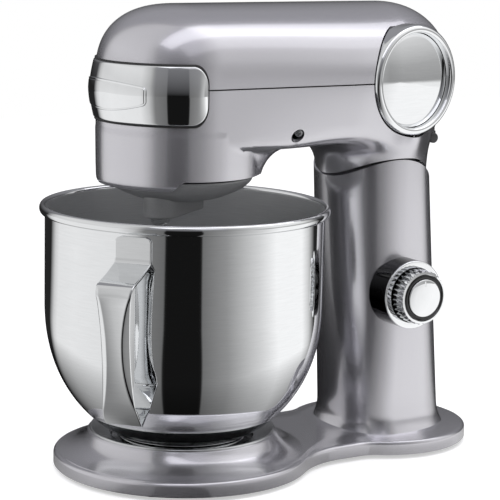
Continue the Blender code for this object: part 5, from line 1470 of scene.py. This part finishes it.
# ---------------------------------------------------------------- the studio
@dataclass
class Studio:
    """Camera, floor, world and lamps."""

    places: Places
    distance: float = 1.5181
    bearing: float = math.radians(30.0536)
    height: float = 0.4446
    pitch: float = math.radians(10.1915)
    yaw: float = math.radians(-1.8931)
    roll: float = math.radians(1.1957)
    lens: float = 144.456
    floor_half: float = 2.2
    fill: float = 0.62
    sky: float = 0.30
    # Painted shadow on the floor's glow in reflections: its centre lies behind the bowl's axis, away from the
    # camera, by behind; it fades in over the shadow distances, and shadow_level is its darkest strength.
    behind: float = 0.15
    shadow: Point = (0.14, 0.33)
    shadow_level: float = 0.06
    floor_tone: float = 0.80
    floor_glow: float = 0.50
    haze_level: float = 0.38
    lamp_colour: Colour = (0.955, 0.95, 1.0)
    bands: tuple[tuple[float, float], ...] = field(default=(
        (-180, 0.02), (-135, 0.02), (-125, 0.70), (-118, 0.88), (-95, 0.92), (-50, 0.86), (-38, 0.60),
        (-30, 0.22), (-15.5, 0.16), (-14.0, 0.008), (12.6, 0.008), (14.0, 0.18), (32, 0.32), (60, 0.76),
        (76, 1.08), (106, 1.08), (116, 0.70), (126, 0.02), (180, 0.02)))

    def build_camera(self) -> None:
        """Sets the camera, level except for its slight roll."""
        where = Vector((self.distance * math.cos(self.bearing),
                        self.places.bowl_y - self.distance * math.sin(self.bearing), self.height))
        away = Vector((-math.cos(self.bearing), math.sin(self.bearing), 0))
        away.rotate(Matrix.Rotation(self.yaw, 3, "Z"))
        ahead = Vector((away.x * math.cos(self.pitch), away.y * math.cos(self.pitch), -math.sin(self.pitch)))
        right = ahead.cross(Vector((0, 0, 1))).normalized()
        up = right.cross(ahead)
        turn = Matrix.Rotation(-self.roll, 3, ahead)
        right, up = turn @ right, turn @ up
        data = bpy.data.cameras.new("studio_camera")
        data.lens = self.lens
        data.clip_end = 60
        camera = bpy.data.objects.new("studio_camera", data)
        basis = Matrix((right, up, -ahead)).transposed()
        camera.matrix_world = Matrix.Translation(where) @ basis.to_4x4()
        bpy.context.scene.collection.objects.link(camera)
        bpy.context.scene.camera = camera
        bpy.context.scene.view_settings.view_transform = "Standard"

    def build_floor(self) -> None:
        """Lays the pale floor, which shows white where no shadow falls; in reflections it glows instead with
        the panels' levels as painted light, darkened by a painted shadow round the object.
        """
        bm = bmesh.new()
        bmesh.ops.create_grid(bm, x_segments=2, y_segments=2, size=self.floor_half)
        material = bpy.data.materials.new("pale_floor")
        material.use_nodes = True
        tree = material.node_tree
        surface = tree.nodes["Principled BSDF"]
        surface.inputs["Base Color"].default_value = (*(self.floor_tone,) * 3, 1)
        surface.inputs["Roughness"].default_value = 0.9
        glow = tree.nodes.new("ShaderNodeEmission")
        path = tree.nodes.new("ShaderNodeLightPath")
        seen = tree.nodes.new("ShaderNodeMath")
        seen.operation = "MAXIMUM"
        tree.links.new(path.outputs["Is Camera Ray"], seen.inputs[0])
        tree.links.new(path.outputs["Is Transmission Ray"], seen.inputs[1])
        lit = tree.nodes.new("ShaderNodeMath")
        lit.operation = "MULTIPLY"
        lit.inputs[1].default_value = self.floor_glow
        tree.links.new(seen.outputs[0], lit.inputs[0])
        tree.links.new(lit.outputs[0], glow.inputs["Strength"])
        both = tree.nodes.new("ShaderNodeAddShader")
        tree.links.new(surface.outputs[0], both.inputs[0])
        tree.links.new(glow.outputs[0], both.inputs[1])
        where = tree.nodes.new("ShaderNodeTexCoord").outputs["Object"]
        level, _ = self.panels(tree, where, (0, self.places.bowl_y, 0))
        # Painted shadow: the floor's glow in reflections darkens towards a point a little behind the bowl's
        # axis.
        far = tree.nodes.new("ShaderNodeVectorMath")
        far.operation = "DISTANCE"
        back = self.behind
        far.inputs[1].default_value = (-back * math.cos(self.bearing),
                                       self.places.bowl_y + back * math.sin(self.bearing), 0)
        tree.links.new(where, far.inputs[0])
        near = tree.nodes.new("ShaderNodeMapRange")
        near.inputs["From Min"].default_value, near.inputs["From Max"].default_value = self.shadow
        near.inputs["To Min"].default_value = self.shadow_level
        tree.links.new(far.outputs["Value"], near.inputs["Value"])
        shown = tree.nodes.new("ShaderNodeEmission")
        tree.links.new(level, shown.inputs["Color"])
        tree.links.new(near.outputs["Result"], shown.inputs["Strength"])
        choice = tree.nodes.new("ShaderNodeMixShader")
        tree.links.new(path.outputs["Is Glossy Ray"], choice.inputs["Fac"])
        tree.links.new(both.outputs[0], choice.inputs[1])
        tree.links.new(shown.outputs[0], choice.inputs[2])
        tree.links.new(choice.outputs[0], tree.nodes["Material Output"].inputs["Surface"])
        floor = finished("studio_floor", bm, material)

    def panels(self, tree: bpy.types.NodeTree, source: bpy.types.NodeSocket,
               centre: Sequence[float] = (0, 0, 0)) -> tuple[bpy.types.NodeSocket, bpy.types.Node]:
        """Grey level of the studio's upright panels, by bearing from the camera's side.

        Args:
            tree: Where the nodes go.
            source: A direction, or a place on the floor.
            centre: What a place's bearing is taken about.

        Returns:
            The level, and the node with the source's turned parts.
        """
        new, link = tree.nodes.new, tree.links.new
        shift = new("ShaderNodeVectorMath")
        shift.operation = "SUBTRACT"
        shift.inputs[1].default_value = centre
        link(source, shift.inputs[0])
        turn = new("ShaderNodeMapping")
        turn.inputs["Rotation"].default_value = (0, 0, self.bearing)
        link(shift.outputs["Vector"], turn.inputs["Vector"])
        parts = new("ShaderNodeSeparateXYZ")
        link(turn.outputs["Vector"], parts.inputs["Vector"])
        around = new("ShaderNodeMath")
        around.operation = "ARCTAN2"
        link(parts.outputs["Y"], around.inputs[0])
        link(parts.outputs["X"], around.inputs[1])
        share = new("ShaderNodeMapRange")
        share.inputs["From Min"].default_value = -math.pi
        share.inputs["From Max"].default_value = math.pi
        link(around.outputs[0], share.inputs["Value"])
        ramp = new("ShaderNodeValToRGB")
        self.fill_ramp(ramp.color_ramp, [((a + 180) / 360, level) for a, level in self.bands])
        link(share.outputs["Result"], ramp.inputs["Fac"])
        return ramp.outputs["Color"], parts

    def haze(self, tree: bpy.types.NodeTree, level: bpy.types.NodeSocket, parts: bpy.types.Node,
             rise: bpy.types.Node) -> bpy.types.NodeSocket:
        """Darkens the far end of the studio on the right, just above the horizon.

        Args:
            tree: The world's nodes.
            level: The panels' grey level.
            parts: The node with the direction's turned parts.
            rise: The node with the direction's height share.

        Returns:
            The darkened level.
        """
        new, link = tree.nodes.new, tree.links.new
        low = new("ShaderNodeValToRGB")
        self.fill_ramp(low.color_ramp, [(0.0, 0.0), (0.446, 0.0), (0.452, 1.0), (0.50, 0.85), (0.56, 0.35),
                                        (0.61, 0.0)])
        link(rise.outputs["Result"], low.inputs["Fac"])
        right = new("ShaderNodeMapRange")
        right.inputs["From Min"].default_value, right.inputs["From Max"].default_value = 0.80, 0.93
        link(parts.outputs["Y"], right.inputs["Value"])
        both = new("ShaderNodeMath")
        both.operation = "MULTIPLY"
        link(low.outputs["Color"], both.inputs[0])
        link(right.outputs["Result"], both.inputs[1])
        less = new("ShaderNodeMapRange")
        less.inputs["To Min"].default_value, less.inputs["To Max"].default_value = 1.0, self.haze_level
        link(both.outputs[0], less.inputs["Value"])
        dim = new("ShaderNodeVectorMath")
        dim.operation = "SCALE"
        link(level, dim.inputs[0])
        link(less.outputs["Result"], dim.inputs["Scale"])
        return dim.outputs["Vector"]

    def build_world(self) -> None:
        """White behind the object, grey fill light, and studio panels for the bright metal to show."""
        world = bpy.data.worlds.new("studio_world")
        world.use_nodes = True
        bpy.context.scene.world = world
        tree = world.node_tree
        tree.nodes.clear()
        new, link = tree.nodes.new, tree.links.new
        level, parts = self.panels(tree, new("ShaderNodeTexCoord").outputs["Generated"])
        rise = new("ShaderNodeMapRange")
        rise.inputs["From Min"].default_value = -1
        link(parts.outputs["Z"], rise.inputs["Value"])
        tall = new("ShaderNodeValToRGB")
        self.fill_ramp(tall.color_ramp, [(0.0, 0.9), (0.445, 0.9), (0.50, 0.86), (0.57, 0.80), (0.64, 0.90),
                                         (0.80, 0.80), (1.0, 0.7)])
        link(rise.outputs["Result"], tall.inputs["Fac"])
        panels = new("ShaderNodeMix")
        panels.data_type, panels.blend_type = "RGBA", "MULTIPLY"
        panels.inputs["Factor"].default_value = 1
        link(self.haze(tree, level, parts, rise), panels.inputs["A"])
        link(tall.outputs["Color"], panels.inputs["B"])
        sky = new("ShaderNodeMix")
        sky.data_type, sky.blend_type = "RGBA", "LIGHTEN"
        sky.inputs["B"].default_value = (self.sky, self.sky, self.sky * 1.06, 1)
        above = new("ShaderNodeMapRange")
        above.inputs["From Min"].default_value, above.inputs["From Max"].default_value = -0.05, 0.62
        link(parts.outputs["Z"], above.inputs["Value"])
        link(above.outputs["Result"], sky.inputs["Factor"])
        link(panels.outputs["Result"], sky.inputs["A"])
        path = new("ShaderNodeLightPath")
        glossy = new("ShaderNodeMix")
        glossy.data_type = "RGBA"
        glossy.inputs["A"].default_value = (self.fill, self.fill, self.fill * 1.02, 1)
        link(path.outputs["Is Glossy Ray"], glossy.inputs["Factor"])
        link(sky.outputs["Result"], glossy.inputs["B"])
        final = new("ShaderNodeMix")
        final.data_type = "RGBA"
        final.inputs["B"].default_value = (1, 1, 1, 1)
        shown = new("ShaderNodeMath")
        shown.operation = "MAXIMUM"
        link(path.outputs["Is Camera Ray"], shown.inputs[0])
        link(path.outputs["Is Transmission Ray"], shown.inputs[1])
        link(shown.outputs[0], final.inputs["Factor"])
        link(glossy.outputs["Result"], final.inputs["A"])
        back = new("ShaderNodeBackground")
        link(final.outputs["Result"], back.inputs["Color"])
        link(back.outputs[0], new("ShaderNodeOutputWorld").inputs["Surface"])

    @staticmethod
    def fill_ramp(ramp: bpy.types.ColorRamp, stops: Sequence[Point]) -> None:
        """Sets a ramp's stops to grey levels."""
        while len(ramp.elements) > 1:
            ramp.elements.remove(ramp.elements[0])
        ramp.elements[0].position = stops[0][0]
        ramp.elements[0].color = (stops[0][1],) * 3 + (1,)
        for position, level in stops[1:]:
            ramp.elements.new(position).color = (level, level, level, 1)

    def add_lamp(self, name: str, turn: float, rise: float, size: Point, power: float, glossy: bool = True,
                 distance: float = 1.6, aim: Sequence[float] = (0, 0, 0.22)) -> None:
        """Hangs a rectangular lamp on a bearing from the camera's side.

        Args:
            name: The lamp's name.
            turn: Bearing to the right of the camera, in degrees.
            rise: Elevation, in degrees.
            size: Width and height.
            power: Watts.
            glossy: Whether bright surfaces show it.
            distance: From the aim point.
            aim: What it points at.
        """
        data = bpy.data.lights.new(name, "AREA")
        data.shape = "RECTANGLE"
        data.size, data.size_y = size
        data.energy = power
        data.color = self.lamp_colour
        lamp = bpy.data.objects.new(name, data)
        bearing = -self.bearing + math.radians(turn)
        up = math.radians(rise)
        way = Vector((math.cos(bearing) * math.cos(up), math.sin(bearing) * math.cos(up), math.sin(up)))
        lamp.location = Vector(aim) + way * distance
        lamp.rotation_euler = way.to_track_quat("Z", "Y").to_euler()
        lamp.visible_glossy = glossy
        lamp.visible_camera = False
        bpy.context.scene.collection.objects.link(lamp)

    def build(self) -> None:
        """Sets up the whole studio."""
        self.build_camera()
        self.build_floor()
        self.build_world()
        self.add_lamp("key_right", 48, 71, (3.3, 0.72), 8.0)
        self.add_lamp("key_fade", 60, 48, (3.0, 0.7), 2.4)
        self.add_lamp("fill_left", -60, 38, (0.9, 0.7), 6, glossy=False)
        self.add_lamp("top_soft", 10, 80, (1.2, 1.2), 7, glossy=False)


def dress_frame(nodes: dict[str, bpy.types.Object], record: dict, finishes: Finishes) -> None:
    """Gives every CAD node that stays its procedural finish.

    Args:
        nodes: The frame's node objects.
        record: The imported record, whose materials name each node's slot.
        finishes: The finishes.
    """
    table = finishes.of_slot()
    slots = {entry["node"]: entry["material_slot"] for entry in record["subparts"]}
    for name, node in nodes.items():
        finish = table.get(slots.get(name, Slot.STEEL.value), finishes.bare_steel)
        node.data.materials.clear()
        node.data.materials.append(finish)
    log.info("dressed %d frame nodes", len(nodes))


def main() -> None:
    """Builds the mixer's looks around the frame."""
    logging.basicConfig(level=logging.INFO, format="%(name)s: %(message)s")
    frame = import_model()
    places = Places()
    finishes = Finishes((0.0, places.bowl_y))
    Studio(places).build()
    dress_frame(frame["nodes"], frame["record"], finishes)
    Base(places, finishes).build()
    Column(places, finishes).build()
    head = Head(places, finishes, HeadForm(places))
    head.build_top()
    head.build_lower()
    head.build_screws()
    head.build_medallions()
    head.build_hinge()
    head.build_lever()
    PortCover(places, finishes).build()
    Planetary(places, finishes).build()
    Bowl(places, finishes).build()
    Dial(places, finishes).build()


if __name__ == "__main__":
    main()
